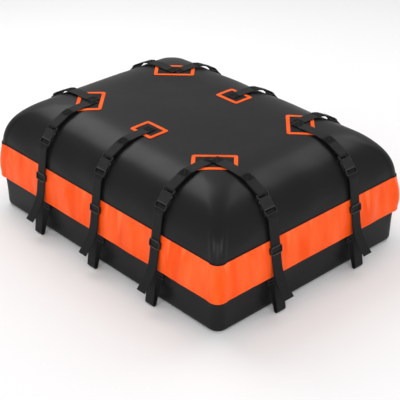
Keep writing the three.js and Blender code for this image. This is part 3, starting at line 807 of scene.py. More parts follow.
def stitch_element(length, width, height):
    """One stitch: a bowed six-sided rod whose ends dip into the cloth."""
    rows, sides = 5, 6
    vertices = []
    for i in range(rows):
        share = i / (rows - 1)
        arch = math.sin(math.pi * share)
        radius = 0.35 + 0.65 * arch
        for j in range(sides):
            turn = 2 * math.pi * j / sides
            across = math.cos(turn) * width / 2 * radius
            up = math.sin(turn) * height / 2 * radius + height * (arch - 0.55) * 0.7
            vertices.append(((share - 0.5) * length, across, up))
    faces, _ = grid(rows, sides, False, True)
    return plain_solid("stitch", vertices, faces + end_faces(rows, sides))


def stitches(name, paths, thread, spacing, shape, looseness, seed):
    """A piece of stitches; shape is their length as a share of the spacing, their width and height."""
    length, width, height = shape
    material = finish(f"{thread.title()} thread", twisted_thread, THREADS[thread])
    element = stitch_element(spacing * length, width * MM, height * MM)
    return repeat_along(name, paths, element, material, spacing, looseness, seed)


# The strap's own plane: how far out from the wall, and how high

BUCKLE_INSET = float(inset_at_height(BUCKLE_HEIGHT))
BUCKLE_OUT = normal_at_inset(BUCKLE_INSET)
BUCKLE_UP = np.array([-BUCKLE_OUT[1], BUCKLE_OUT[0]])
BUCKLE_MIDDLE = np.array([-BUCKLE_INSET, BUCKLE_HEIGHT]) + BUCKLE_STAND_OFF * BUCKLE_OUT
BUCKLE_TILT = math.atan2(BUCKLE_OUT[1], BUCKLE_OUT[0])


def on_buckle(up, out):
    return BUCKLE_MIDDLE + up * BUCKLE_UP + out * BUCKLE_OUT


RUN_TOP = on_buckle(BUCKLE_BOTTOM - BEND_BELOW_BUCKLE, LADDER_OUT - LAYER_STEP / 2)
LOOP_CENTRE = np.array([LOOP_REACH, LOOP_RADIUS + WEBBING_THICKNESS / 2 + LOOP_FLOOR_GAP])


def touch_angle(point, side):
    away = point - LOOP_CENTRE
    return math.atan2(away[1], away[0]) + side * math.acos(LOOP_RADIUS / np.linalg.norm(away))


def on_loop(angle):
    return LOOP_CENTRE + LOOP_RADIUS * np.array([math.cos(angle), math.sin(angle)])


RUN_FOOT = on_loop(touch_angle(RUN_TOP, -1))
RUN_UP = (RUN_TOP - RUN_FOOT) / np.linalg.norm(RUN_TOP - RUN_FOOT)
RUN_OUT = np.array([RUN_UP[1], -RUN_UP[0]])
RUN_TILT = math.atan2(RUN_OUT[1], RUN_OUT[0])


def on_run(height, out=0.0):
    return RUN_FOOT + RUN_UP * (height - RUN_FOOT[1]) / RUN_UP[1] + RUN_OUT * out


STRAPS = []
for side, sign, turn in (("front", -1, math.pi), ("rear", 1, 0.0)):
    for place, x, kind in (("left", -1, "corner"), ("middle", 0, "middle"), ("right", 1, "corner")):
        STRAPS.append((f"{side}_{place}", x * LONG_SIDE_STRAP_X, sign * WIDTH / 2, turn, kind))
for side, sign, turn in (("right", 1, -math.pi / 2), ("left", -1, math.pi / 2)):
    for place, y in (("front", -1), ("rear", 1)):
        STRAPS.append((f"{side}_{place}", sign * LENGTH / 2, y * SHORT_SIDE_STRAP_Y, turn, "end"))


def strap_matrix(x, y, turn, seat=(0.0, 0.0), tilt=0.0):
    """Where something sits on a strap: how far out and how high, and how far it leans back."""
    foot = Matrix.Translation((x, y, 0)) @ Matrix.Rotation(turn, 4, "Z")
    return foot @ Matrix.Translation((0, *seat)) @ Matrix.Rotation(tilt, 4, "X")


BUCKLE_PLACE = (BUCKLE_MIDDLE, BUCKLE_TILT)
GLIDE_PLACE = (on_run(GLIDE_HEIGHT, LAYER_STEP / 2), RUN_TILT)
ANCHOR_PLACE = ((0.0, ANCHOR_GLIDE_HEIGHT), 0.0)


def left_of(directions):
    return np.stack([-directions[:, 1], directions[:, 0]], axis=1)


def line_normals(line):
    """The mitred left-hand direction at each point of a line."""
    steps = np.diff(line, axis=0)
    steps = steps / np.linalg.norm(steps, axis=1)[:, None]
    first = np.vstack([steps[:1], steps])
    second = np.vstack([steps, steps[-1:]])
    mean = first + second
    mean = mean / np.linalg.norm(mean, axis=1)[:, None]
    side = left_of(mean)
    return side / np.sum(side * left_of(first), axis=1)[:, None]


def offset_line(line, distance):
    return line + distance * line_normals(line)


def first_stretch(line, length):
    """The first stretch of a line, of a given length."""
    stretch = [line[0]]
    left = length
    for here, there in zip(line, line[1:]):
        span = np.linalg.norm(there - here)
        stretch.append(here + (there - here) * min(1.0, left / span))
        left -= span
        if left <= 0:
            break
    return np.array(stretch)


def corner_curve(before, corner, after, reach, shares):
    """A short curve in the place of a corner, from a reach before it to a reach after it."""
    start, end = (
        corner + (other - corner) * min(reach / np.linalg.norm(other - corner), 0.45)
        for other in (before, after))
    curve = []
    for share in shares:
        first = start + (corner - start) * share
        second = corner + (end - corner) * share
        curve.append(first + (second - first) * share)
    return curve


def softened(line, reach):
    """The line with each corner turned into a short curve that keeps its ends."""
    points = [line[0]]
    for before, corner, after in zip(line, line[1:], line[2:]):
        points += corner_curve(before, corner, after, reach, (0.0, 0.33, 0.67, 1.0))
    return np.array([*points, line[-1]])


def divided(line, longest):
    """The line with points added, so that no step is longer than a given length."""
    points = [line[0]]
    for here, there in zip(line, line[1:]):
        count = max(1, math.ceil(np.linalg.norm(there - here) / longest))
        points += [here + (there - here) * (i + 1) / count for i in range(count)]
    return np.array(points)


def wrap(bar_up, bar_out, half_depth, half_thickness, side):
    """Half a turn round a bar; side is 1 over its top and -1 under it."""
    clear = SEAT_GAP + WEBBING_THICKNESS / 2
    fullness = 0.6
    points = []
    for angle in np.linspace(0.0, math.pi, 13):
        sine, cosine = math.sin(angle), math.cos(angle)
        up = bar_up + side * (half_depth + clear) * abs(sine) ** fullness
        out = bar_out - (half_thickness + clear) * math.copysign(abs(cosine) ** fullness, cosine)
        points.append(on_buckle(up, out))
    return points


def upper_line(kind):
    """From the patch over the shoulder, round the bar of the female half and back on top."""
    end_lift = END_LIFTS[kind]
    line = [np.array([-END_INSETS[kind], HEIGHT + end_lift])]
    for share in np.linspace(0.0, 1.0, 19):
        inset = STRAP_LIFT_START + (STRAP_LIFT_END - STRAP_LIFT_START) * share
        lift = end_lift + (STRAP_LIFT - end_lift) * share * share * (3 - 2 * share)
        line.append(np.array([-inset, height_at_inset(inset)]) + lift * normal_at_inset(inset))
    fold = offset_line(np.array(line[::-1]), -LAYER_STEP)
    turn = wrap(BUCKLE_TOP - BAR_DEPTH / 2, 0.0, BAR_DEPTH / 2, BAR_THICKNESS / 2, -1)
    beside = BAR_THICKNESS / 2 + SEAT_GAP + WEBBING_THICKNESS / 2
    past_bar = BUCKLE_TOP + 1.0 * MM
    folded = first_stretch(np.vstack([[on_buckle(past_bar, beside)], fold]), FOLDED_LENGTH)
    return np.vstack([line, [on_buckle(past_bar, -beside)], turn, folded])


def lower_line():
    """From the wall round the loop, up to the ladder bar, round it and down to the tail."""
    anchor_out = SEAT_GAP + WEBBING_THICKNESS / 2
    anchor = [np.array([anchor_out, ANCHOR_TOP]), np.array([anchor_out, ANCHOR_BOTTOM])]
    start = touch_angle(anchor[1], 1)
    end = touch_angle(RUN_TOP, -1) + 2 * math.pi
    sweep = (end - start) % (2 * math.pi)
    loop = [on_loop(start + sweep * share) for share in np.linspace(0.0, 1.0, 19)]
    beside = LADDER_UP - LADDER_DEPTH / 2 - 0.5 * MM
    together = beside - 5.0 * MM
    turn = wrap(LADDER_UP, LADDER_OUT, LADDER_DEPTH / 2, LADDER_THICKNESS / 2, 1)
    rise = [
        RUN_TOP,
        on_buckle(together, LADDER_OUT - LAYER_STEP / 2),
        on_buckle(beside, LADDER_OUT - LADDER_WRAP),
        *turn,
        on_buckle(beside, LADDER_OUT + LADDER_WRAP),
        on_buckle(together, LADDER_OUT + LAYER_STEP / 2),
        on_buckle(BUCKLE_BOTTOM - BEND_BELOW_BUCKLE, LADDER_OUT + LAYER_STEP / 2),
        on_run(RUN_TOP[1] - 9.0 * MM, LAYER_STEP),
    ]
    tail = [on_run(TAIL_START, LAYER_STEP), on_run(TAIL_BEND_HEIGHT, LAYER_STEP)]
    tip = np.array([TAIL_REACH, TAIL_END_HEIGHT])
    curve = [
        (1 - t) ** 2 * tail[0] + 2 * t * (1 - t) * tail[1] + t * t * tip
        for t in np.linspace(0.0, 1.0, 15)
    ]
    return np.array([*anchor, *loop, *rise, *curve])


def webbing_piece(name, line, matrix, material, sewn_and_shaded=()):
    """One strip of webbing along its middle line; the last argument holds its box-stitched stretches, which
    are darkened with painted shade.
    """
    half_thickness = WEBBING_THICKNESS / 2
    flat = WEBBING_WIDTH / 2 - half_thickness
    across = [(a, half_thickness) for a in np.linspace(flat, -flat, 9)]
    edge_turns = np.linspace(math.pi / 2, 3 * math.pi / 2, 5)[1:-1]
    left = [(-flat + half_thickness * math.cos(t), half_thickness * math.sin(t)) for t in edge_turns]
    half = across + left
    section = np.array(half + [(-a, -b) for a, b in half])
    rows, columns = len(line), len(section)
    local = np.zeros((rows, columns, 3))
    local[:, :, 0] = section[:, 0]
    local[:, :, 1:] = line[:, None] + section[:, 1, None] * line_normals(line)[:, None]
    world = local @ np.array(matrix)[:3, :3].T + np.array(matrix)[:3, 3]
    along = lengths_along(line)
    end_uv = [(u, 0.0) for u in section[::-1, 0]] + [(u, along[-1]) for u in section[:, 0]]
    piece = skin(
        name, world, material, lambda row, column: (section[column % columns, 0], along[row]),
        (False, True), end_faces(rows, columns), end_uv, 50.0)
    # Painted shade over the sewn stretches, with soft ends, stored for the material
    edge = 1.5 * MM
    painted_shade = np.zeros(rows)
    for start, end in sewn_and_shaded:
        painted_shade = np.maximum(painted_shade, band(along, (start - edge, start + edge), (end - edge, end + edge)))
    attribute = piece.data.attributes.new("sewn_and_shaded", "FLOAT", "POINT")
    attribute.data.foreach_set("value", np.repeat(painted_shade, columns).astype(np.float32))
    return piece


def place_on_line(line, distance):
    """The point of a line at a distance along it, with its left-hand direction."""
    along = lengths_along(line)
    near = 0.4 * MM
    point, ahead, behind = (
        np.array([np.interp(distance + step, along, line[:, k]) for k in (0, 1)])
        for step in (0.0, near, -near))
    direction = (ahead - behind) / np.linalg.norm(ahead - behind)
    return point, np.array([-direction[1], direction[0]])


def sewn_box(line, start, length, side, matrix):
    """Stitch paths of a box with a cross in it, on one face of the webbing."""
    half = WEBBING_WIDTH / 2 - 4.0 * MM
    lift = WEBBING_THICKNESS / 2 + 0.05 * MM
    corners = rectangle(start, start + length, -half, half)
    paths = []
    for first, last in ((0, 1), (1, 2), (2, 3), (3, 0), (0, 2), (1, 3)):
        points, outwards = [], []
        for along, across in np.linspace(corners[first], corners[last], 10):
            middle, normal = place_on_line(line, along)
            points.append(matrix @ Vector((across, *(middle + normal * side * lift))))
            outwards.append(matrix.to_3x3() @ Vector((0, *(normal * side))))
        paths.append((np.array(points), np.array(outwards)))
    return paths


def strap_seams(name, paths, settings, seed):
    """The black stitches of the sewn boxes, as one piece."""
    piece = stitches(name, paths, "black", settings.stitch_spacing, (0.8, 0.75, 0.5), 0.06, seed)
    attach(piece, "bag")


# The moulded parts, made of bevelled blocks that are fused into one solid

def rounded_outline(points, radius):
    """A closed outline with each corner turned into an arc-like curve."""
    result = []
    for i in range(len(points)):
        before, corner, after = (np.array(points[(i + k) % len(points)], float) for k in (-1, 0, 1))
        result += corner_curve(before, corner, after, radius, (0.0, 0.25, 0.5, 0.75, 1.0))
    return result


def bevelled_solid(vertices_low, vertices_high, bevel):
    """A prism between two matching outlines, its two end faces with rounded edges."""
    work = bmesh.new()
    low = [work.verts.new(v) for v in vertices_low]
    high = [work.verts.new(v) for v in vertices_high]
    count = len(low)
    ends = [work.faces.new(low), work.faces.new(high[::-1])]
    for i in range(count):
        work.faces.new([low[i], high[i], high[(i + 1) % count], low[(i + 1) % count]])
    bmesh.ops.recalc_face_normals(work, faces=work.faces)
    edges = {edge for face in ends for edge in face.edges}
    if bevel > 0:
        bmesh.ops.bevel(
            work, geom=list(edges), offset=bevel, offset_type="OFFSET", segments=2,
            profile=0.5, affect="EDGES", clamp_overlap=True)
    bmesh.ops.recalc_face_normals(work, faces=work.faces)
    mesh = bpy.data.meshes.new("block")
    work.to_mesh(mesh)
    work.free()
    return link_piece("block", mesh)


def plate_solid(outline, low, high, bevel):
    """An (across, up) outline with a thickness from low to high, outwards."""
    return bevelled_solid([(a, low, u) for a, u in outline], [(a, high, u) for a, u in outline], bevel)


def bar_solid(low_out, high_out, low_up, high_up, half_length, round_by, bevel=0.0):
    """A bar across the buckle with rounded long edges."""
    outline = rounded_outline(rectangle(low_out, high_out, low_up, high_up), round_by)
    left = [(-half_length, out, up) for out, up in outline]
    right = [(half_length, out, up) for out, up in outline]
    return bevelled_solid(left, right, bevel)


def box_solid(low, high, bevel):
    """A block between two corners, its upright edges and its end faces rounded."""
    corners = rectangle(low[0], high[0], low[2], high[2])
    return plate_solid(rounded_outline(corners, bevel), low[1], high[1], bevel)


def tooth_solid(half_width, half_depth, half_height, chamfer):
    """A zip tooth: an eight-sided block that narrows at both ends."""
    vertices = []
    levels = ((-half_depth, chamfer), (chamfer - half_depth, 0.0), (half_depth - chamfer, 0.0),
              (half_depth, chamfer))
    for out, inset in levels:
        wide, tall = half_width - inset, half_height - inset
        quarter = [(wide, tall - chamfer), (wide - chamfer, tall)]
        upper = quarter + [(-a, u) for a, u in quarter[::-1]]
        vertices += [(a, out, u) for a, u in upper + [(-a, -u) for a, u in upper]]
    faces, _ = grid(len(levels), 8, False, True)
    return plain_solid("tooth", vertices, faces + end_faces(len(levels), 8))


def fuse(name, solids, cutters=()):
    """One mesh of several overlapping solids, less the cutters."""
    base = solids[0]
    groups = []
    for operation, others in (("UNION", solids[1:]), ("DIFFERENCE", cutters)):
        if not others:
            continue
        group = bpy.data.collections.new("operands")
        for other in others:
            group.objects.link(other)
        groups.append(group)
        modifier = base.modifiers.new(operation, "BOOLEAN")
        modifier.operation = operation
        modifier.operand_type = "COLLECTION"
        modifier.collection = group
        modifier.solver = "EXACT"
    mesh = evaluated_mesh(base)
    mesh.name = name
    for solid in [*solids, *cutters]:
        bpy.data.objects.remove(solid)
    for group in groups:
        bpy.data.collections.remove(group)
    with editing(mesh) as work:
        bmesh.ops.remove_doubles(work, verts=work.verts, dist=0.01 * MM)
        bmesh.ops.dissolve_degenerate(work, edges=work.edges, dist=0.005 * MM)
        bmesh.ops.recalc_face_normals(work, faces=work.faces)
    return mesh


def mirror_outline(outline):
    return [(-a, u) for a, u in outline][::-1]


def female_mesh(edge):
    """The female half: an open loop for the webbing over a waisted housing of two plates."""
    half_mouth = HALF_BUCKLE - 2.0 * MM
    half_neck = HALF_BUCKLE - 6.5 * MM
    waist = HOUSING_TOP - 13.0 * MM
    right = [
        (half_mouth, HOUSING_MOUTH), (half_mouth, HOUSING_MOUTH + 15.0 * MM),
        (half_neck, waist), (half_neck, HOUSING_TOP),
    ]
    outline = rounded_outline(right + mirror_outline(right), 3.5 * MM)
    bar_half = BAR_THICKNESS / 2
    solids = [
        bar_solid(-bar_half, bar_half, BUCKLE_TOP - BAR_DEPTH, BUCKLE_TOP, HALF_BUCKLE - 1.0 * MM, 1.3 * MM),
        box_solid((-half_neck - 1.0 * MM, -HALF_THICKNESS, HOUSING_TOP - 2.6 * MM),
                  (half_neck + 1.0 * MM, HALF_THICKNESS, HOUSING_TOP + 0.4 * MM), edge),
        plate_solid(outline, PLATE_INNER, HALF_THICKNESS, edge),
        plate_solid(outline, -HALF_THICKNESS, -PLATE_INNER, edge),
        bar_solid(PLATE_INNER + 0.2 * MM, HALF_THICKNESS + 0.35 * MM, HOUSING_MOUTH,
                  HOUSING_MOUTH + 1.5 * MM, half_mouth - 1.0 * MM, 0.5 * MM, 0.2 * MM),
    ]
    rail = [
        (RAIL_INNER, BUCKLE_TOP - 0.2 * MM), (HALF_BUCKLE, BUCKLE_TOP - 0.2 * MM),
        (HALF_BUCKLE, BUCKLE_TOP - 8.0 * MM), (half_neck + 1.0 * MM, HOUSING_TOP - 2.4 * MM),
        (half_neck - 4.0 * MM, HOUSING_TOP - 2.4 * MM), (RAIL_INNER, BUCKLE_TOP - 8.0 * MM),
    ]
    for outline in (rail, mirror_outline(rail)):
        solids.append(plate_solid(rounded_outline(outline, 1.7 * MM), -3.0 * MM, 3.0 * MM, edge))
    for side in (-1, 1):
        rib = sorted((side * (TONGUE_HALF + 1.0 * MM), side * (TONGUE_HALF + 3.0 * MM)))
        solids.append(box_solid((rib[0], -PLATE_INNER - 0.5 * MM, HOUSING_MOUTH + 0.3 * MM),
                                (rib[1], PLATE_INNER + 0.5 * MM, HOUSING_TOP - 1.0 * MM), 0.0))
    return fuse("female_half", solids)


def male_mesh(edge):
    """The male half: a frame with its ladder bar, a tongue, and two sprung arms with pads."""
    base = HOUSING_MOUTH - 0.5 * MM
    pad_top = HOUSING_TOP - 2.5 * MM
    arm = [
        (13.0 * MM, base - 1.0 * MM), (19.0 * MM, base - 1.0 * MM), (19.2 * MM, base + 14.0 * MM),
        (24.6 * MM, pad_top - 11.0 * MM), (24.6 * MM, pad_top - 3.0 * MM), (21.5 * MM, pad_top),
        (18.5 * MM, pad_top), (16.0 * MM, pad_top - 7.0 * MM), (13.0 * MM, base + 11.0 * MM),
    ]
    ladder_half = LADDER_THICKNESS / 2
    half_arm, back, past = 3.1 * MM, -2.75 * MM, 2.0 * MM
    corners = rectangle(-HALF_BUCKLE, HALF_BUCKLE, BUCKLE_BOTTOM, base)
    frame_solid = plate_solid(rounded_outline(corners, 3.0 * MM), back, HALF_THICKNESS, edge)
    window = box_solid((-RAIL_INNER, back - past, BUCKLE_BOTTOM + END_BAR_DEPTH),
                       (RAIL_INNER, HALF_THICKNESS + past, MALE_BASE_BOTTOM), 0.8 * MM)
    behind_bar = box_solid((-RAIL_INNER, back - past, BUCKLE_BOTTOM - past),
                           (RAIL_INNER, END_BAR_INNER, BUCKLE_BOTTOM + END_BAR_DEPTH + past), 0.0)
    frame_mesh = fuse("male_frame", [frame_solid], [window, behind_bar])
    solids = [
        link_piece("male_frame", frame_mesh),
        bar_solid(LADDER_OUT - ladder_half, LADDER_OUT + ladder_half, LADDER_UP - LADDER_DEPTH / 2,
                  LADDER_UP + LADDER_DEPTH / 2, HALF_BUCKLE - 0.8 * MM, 1.0 * MM),
        box_solid((-21.0 * MM, -HALF_THICKNESS + SEAT_GAP, MALE_BASE_BOTTOM + 0.3 * MM),
                  (21.0 * MM, HALF_THICKNESS - SEAT_GAP, base - 0.2 * MM), edge),
        box_solid((-TONGUE_HALF, -2.5 * MM, base - 1.0 * MM),
                  (TONGUE_HALF, 2.5 * MM, base + 22.0 * MM), edge),
    ]
    for outline in (arm, mirror_outline(arm)):
        solids.append(plate_solid(rounded_outline(outline, 2.4 * MM), -half_arm, half_arm, edge))
    for side in (-1, 1):
        reach = sorted((side * 20.0 * MM, side * 25.2 * MM))
        for below_top in (4.2, 6.6, 9.0):
            up = pad_top - below_top * MM
            solids.append(box_solid((reach[0], -half_arm - 0.3 * MM, up - 0.55 * MM),
                                    (reach[1], half_arm + 0.3 * MM, up + 0.55 * MM), 0.25 * MM))
    return fuse("male_half", solids)


def windowed_frame(length, radius, back, front, slot_front, bar, bevel):
    """A frame with a window, whose end bars leave a slot behind them for the webbing."""
    half, past = length / 2, 2.0 * MM
    corners = rectangle(-HALF_BUCKLE, HALF_BUCKLE, -half, half)
    body = plate_solid(rounded_outline(corners, radius), back, front, bevel)
    cutters = [
        box_solid((-HALF_WINDOW, back - past, -reach), (HALF_WINDOW, end, reach), 0.0)
        for reach, end in ((half - bar, front + past), (half + past, slot_front))]
    return link_piece("windowed_frame", fuse("windowed_frame", [body], cutters))


def glide_mesh(edge):
    """The tri-glide: a round-ended frame whose outer bars lie over both layers of webbing."""
    bar, ridge, past = 4.5 * MM, 1.2 * MM, 2.0 * MM
    solids = [
        windowed_frame(GLIDE_LENGTH, 10.0 * MM, -GLIDE_FACE, GLIDE_FACE, GLIDE_STACK, bar, 1.2 * MM),
        bar_solid(-GLIDE_FACE, -GLIDE_STACK, -bar / 2, bar / 2, HALF_WINDOW + past, 0.9 * MM),
    ]
    for up in (-1, 1):
        middle = up * (GLIDE_LENGTH / 2 - bar / 2)
        solids.append(bar_solid(GLIDE_FACE - 1.0 * MM, GLIDE_FACE + 0.35 * MM, middle - ridge,
                                middle + ridge, HALF_WINDOW - 1.0 * MM, 0.9 * MM, edge))
    return fuse("glide_frame", solids)


def anchor_mesh(edge):
    """The small adjuster low on the inner run, its bars in front of the webbing."""
    bar, past = 4.0 * MM, 2.0 * MM
    clear = SEAT_GAP + WEBBING_THICKNESS + 0.2 * MM
    frame_solid = windowed_frame(
        ANCHOR_GLIDE_LENGTH, 7.0 * MM, SEAT_GAP, ANCHOR_GLIDE_FACE, clear, bar, 0.9 * MM)
    middle = bar_solid(clear, ANCHOR_GLIDE_FACE - 0.4 * MM, -bar / 2, bar / 2, HALF_WINDOW + past, 0.9 * MM)
    return fuse("anchor_frame", [frame_solid, middle])


def finished_moulding(mesh):
    """Marks the narrow faces along the edges of a moulded part, which its material lights with a painted
    highlight, and evens out its shading.
    """
    rim_width = 0.55 * MM
    with editing(mesh) as work:
        layer = work.faces.layers.float.new("rim")
        for face in work.faces:
            mean_width = 2 * face.calc_area() / face.calc_perimeter()
            face[layer] = 1.0 if mean_width < rim_width else 0.0
    set_smooth(mesh, 32.0)
    holder = link_piece("moulding", mesh)
    holder.modifiers.new("Even shading", "WEIGHTED_NORMAL").keep_sharp = True
    result = evaluated_mesh(holder)
    bpy.data.objects.remove(holder)
    return result


def placed_copy(name, mesh, matrix, material):
    copy = mesh.copy()
    copy.name = name
    copy.transform(matrix)
    copy.materials.clear()
    copy.materials.append(material)
    return link_piece(name, copy)


# The main forms

def ring_counts(step):
    """How many steps of a given length the long and short walls take, with those of a corner."""
    long_steps, short_steps = (round((size - 2 * WALL_RADIUS) / step) for size in (LENGTH, WIDTH))
    return long_steps, short_steps, CORNER_STEPS


def long_middle(points, half_length):
    """The nearest places to points in plan on a line along X through the middle."""
    return np.column_stack([np.clip(points[:, 0], -half_length, half_length), np.zeros(len(points))])


def shell_rows(counts):
    """Rings of the shell from the middle of its base to the middle of its top."""
    rows = []
    heights = []

    def add_row(inset, height, radius, share=1.0):
        half_x = LENGTH / 2 - inset
        half_y = WIDTH / 2 - inset
        points, _ = ring(half_x, half_y, radius, *counts)
        spine = long_middle(points, half_x - half_y)
        rows.append(spine + (points - spine) * share)
        heights.append(height)

    fills = 12
    for i in range(fills):
        add_row(HEM_RADIUS, 0.0, WALL_RADIUS - HEM_RADIUS, i / fills)
    for turn in np.linspace(0.0, math.pi / 2, 7):
        inset = HEM_RADIUS * (1 - math.sin(turn))
        add_row(inset, HEM_RADIUS * (1 - math.cos(turn)), WALL_RADIUS - inset)
    for height in np.linspace(HEM_RADIUS, WALL_HEIGHT, 16)[1:-1]:
        add_row(0.0, height, WALL_RADIUS)
    for turn in np.linspace(0.0, math.pi / 2, 44):
        height = WALL_HEIGHT + SHOULDER_RISE * math.sin(turn) ** (2 / CURVE_UP)
        inset = SHOULDER_DEPTH * (1 - abs(math.cos(turn)) ** (2 / CURVE_OUT))
        add_row(inset, height, WALL_RADIUS + RADIUS_GROWTH * inset)
    top_fills = 16
    for i in range(top_fills - 1, -1, -1):
        add_row(SHOULDER_DEPTH, HEIGHT, WALL_RADIUS + RADIUS_GROWTH * SHOULDER_DEPTH, i / top_fills)
    return rows, heights


def shell_relief(points, settings):
    """How far the cloth of the shell stands out from the plain form."""
    x, y, z = points.T
    near_corner = 1.0
    for place, size in ((x, LENGTH), (y, WIDTH)):
        near_corner = near_corner * smooth_step(*(size / 2 - d for d in SAG_ZONE), np.abs(place))
    sag = settings.corner_sag * near_corner * band(z, *SAGGING_SHOULDER)
    top = smooth_step(*START_OF_TOP, z)
    waves = settings.ripple * slow_waves(points, (0.13, 0.34), 14, settings.seed)
    waves *= (1 - band(z, *UNDER_FLAP)) * (1 - 0.75 * top) * smooth_step(*ABOVE_HEM, z)
    bulge_x, bulge_y = (np.clip(1 - (p / half) ** 2, 0, 1) ** 2 for p, half in zip((x, y), CROWN_HALF))
    return corner_push(x, y, z) - sag + waves + settings.crown * bulge_x * bulge_y * top


def flap_out(share):
    """How far out from the wall the inner face of the flap lies, from its top to its bottom."""
    seat = SEAT_GAP - float(inset_at_height(FLAP_TOP))
    turn = np.minimum(share / FLAP_STRAIGHT, 1.0) * (math.pi / 2)
    return seat + (FLAP_STAND_OFF - seat) * np.sin(turn)


def strap_clearance(points):
    """0 under a strap and 1 away from it, for points on the walls."""
    away = np.ones(len(points))
    for _, x, y, _, kind in STRAPS:
        along, out, place, size = (1, 0, (y, x), LENGTH) if kind == "end" else (0, 1, (x, y), WIDTH)
        on_its_wall = (points[:, out] * place[1] > 0) & (np.abs(points[:, out]) > size / 2 - NEAR_WALL)
        near = np.where(on_its_wall, np.abs(points[:, along] - place[0]), 1.0)
        away = np.minimum(away, smooth_step(*BESIDE_STRAP, near))
    return away


def flap_relief(along, perimeter, shares, clearance, settings):
    """Wrinkles of the flap, as rows from its top to its bottom."""
    dice = random.Random(settings.seed)
    slow = closed_waves(along, perimeter, (11, 34), settings.seed)
    quick = closed_waves(along, perimeter, (48, 96), settings.seed + 1)
    hang = (smooth_step(0.03, 0.45, shares) * (1 - 0.8 * smooth_step(0.7, 1.0, shares)))[:, None]
    relief = settings.wrinkle * hang * (slow + 0.28 * quick)[None, :]
    for _ in range(settings.pucker_count):
        centre = dice.uniform(0, perimeter)
        size = settings.pucker * dice.uniform(0.45, 1.0)
        width = dice.uniform(8.0, 17.0) * MM
        slant = dice.uniform(-0.45, 0.45)
        depth = dice.uniform(0.45, 0.95)
        middle = centre + slant * shares[:, None] * FLAP_DROP
        distance = (along[None, :] - middle + perimeter / 2) % perimeter - perimeter / 2
        fold = np.exp(-(distance / (width * (1.25 - 0.75 * shares[:, None] / depth))) ** 2)
        relief += size * fold * band(shares, (0.03, 0.30), (0.25, depth))[:, None]
    return relief * clearance[None, :]


def flap_surface(settings, counts):
    """The ring, the shares of the drop and the relief that the flap and its hems share."""
    points, normals = ring(LENGTH / 2, WIDTH / 2, WALL_RADIUS, *counts)
    along = lengths_along(closed(points))
    hem = settings.hem_width / FLAP_DROP
    upper = [0.0, HEM_EDGE, *np.linspace(HEM_EDGE * 2.5, hem - HEM_EDGE, 3), hem, hem + HEM_EDGE]
    middle = np.linspace(hem + 0.05, 1 - hem - 0.05, 18)
    shares = np.concatenate([upper, middle, 1 - np.array(upper[::-1])])
    relief = flap_relief(along[:-1], along[-1], shares, strap_clearance(points), settings)
    return points, normals, along, shares, relief


def flap_thickness(share, settings):
    """The flap's thickness at a share of its drop: two folded hems and one layer between."""
    hem = settings.hem_width / FLAP_DROP
    inner = band(share, (hem, hem + HEM_EDGE), (1 - hem - HEM_EDGE, 1 - hem))
    rim = band(share, (0.0, HEM_EDGE), (1 - HEM_EDGE, 1.0))
    return (0.9 + 0.8 * (1 - inner)) * MM * (0.55 + 0.45 * rim)


def flap_row(share_index, data, settings, lift):
    """Points of the flap at one row, a given distance out from its inner face."""
    points, normals, _, shares, relief = data
    share = shares[share_index]
    corner = 2 * np.abs(normals[:, 0] * normals[:, 1])
    height = FLAP_TOP - share * (FLAP_DROP + settings.corner_dip * corner * share)
    out = flap_out(share) + relief[share_index] + settings.corner_flare * corner ** 2 * share + lift
    out = out + corner_push(points[:, 0], points[:, 1], height)
    return np.column_stack([points + normals * out[:, None], height])


def surface_of_flap(share_index, data, settings, lift):
    """Points on the outer face of the flap at one row, with their outward directions."""
    _, normals, _, shares, _ = data
    share = shares[share_index]
    flat = flap_row(share_index, data, settings, flap_thickness(share, settings) + lift)
    outward = np.column_stack([normals, np.full(len(normals), 0.15 * (1 - share))])
    outward /= np.linalg.norm(outward, axis=1)[:, None]
    return closed(flat), closed(outward)


def flat_patch(along, across, inset):
    """The outline of a patch on its own plane, a rounded rectangle with points along its sides."""
    radius = PATCH_CORNER_RADIUS + (PATCH_INNER_RADIUS - PATCH_CORNER_RADIUS) * inset / PATCH_BORDER
    return ring(along / 2 - inset, across / 2 - inset, radius, *PATCH_STEPS)[0]


def put_down(points, centre, turn):
    """Points of a patch's own plane, turned and moved to their place in plan."""
    cosine, sine = math.cos(turn), math.sin(turn)
    return points @ np.array([[cosine, sine], [-sine, cosine]]) + np.array(centre)


def raised(points, lift):
    return np.column_stack([points, top_height(points[:, 0], points[:, 1]) + lift])


PATCHES = []
for name_x, sign_x in (("left", -1), ("right", 1), ("middle", 0)):
    for name_y, sign_y in (("front", -1), ("rear", 1)):
        if sign_x:
            centre = (sign_x * CORNER_PATCH[0], sign_y * CORNER_PATCH[1])
            size = (PATCH_ALONG_CORNER, PATCH_ACROSS_CORNER)
        else:
            centre = (0.0, sign_y * SIDE_PATCH_Y)
            size = (PATCH_ALONG_SIDE, PATCH_ACROSS_SIDE)
        PATCHES.append((f"{name_y}_{name_x}", centre, *size, -sign_x * sign_y * math.pi / 4))


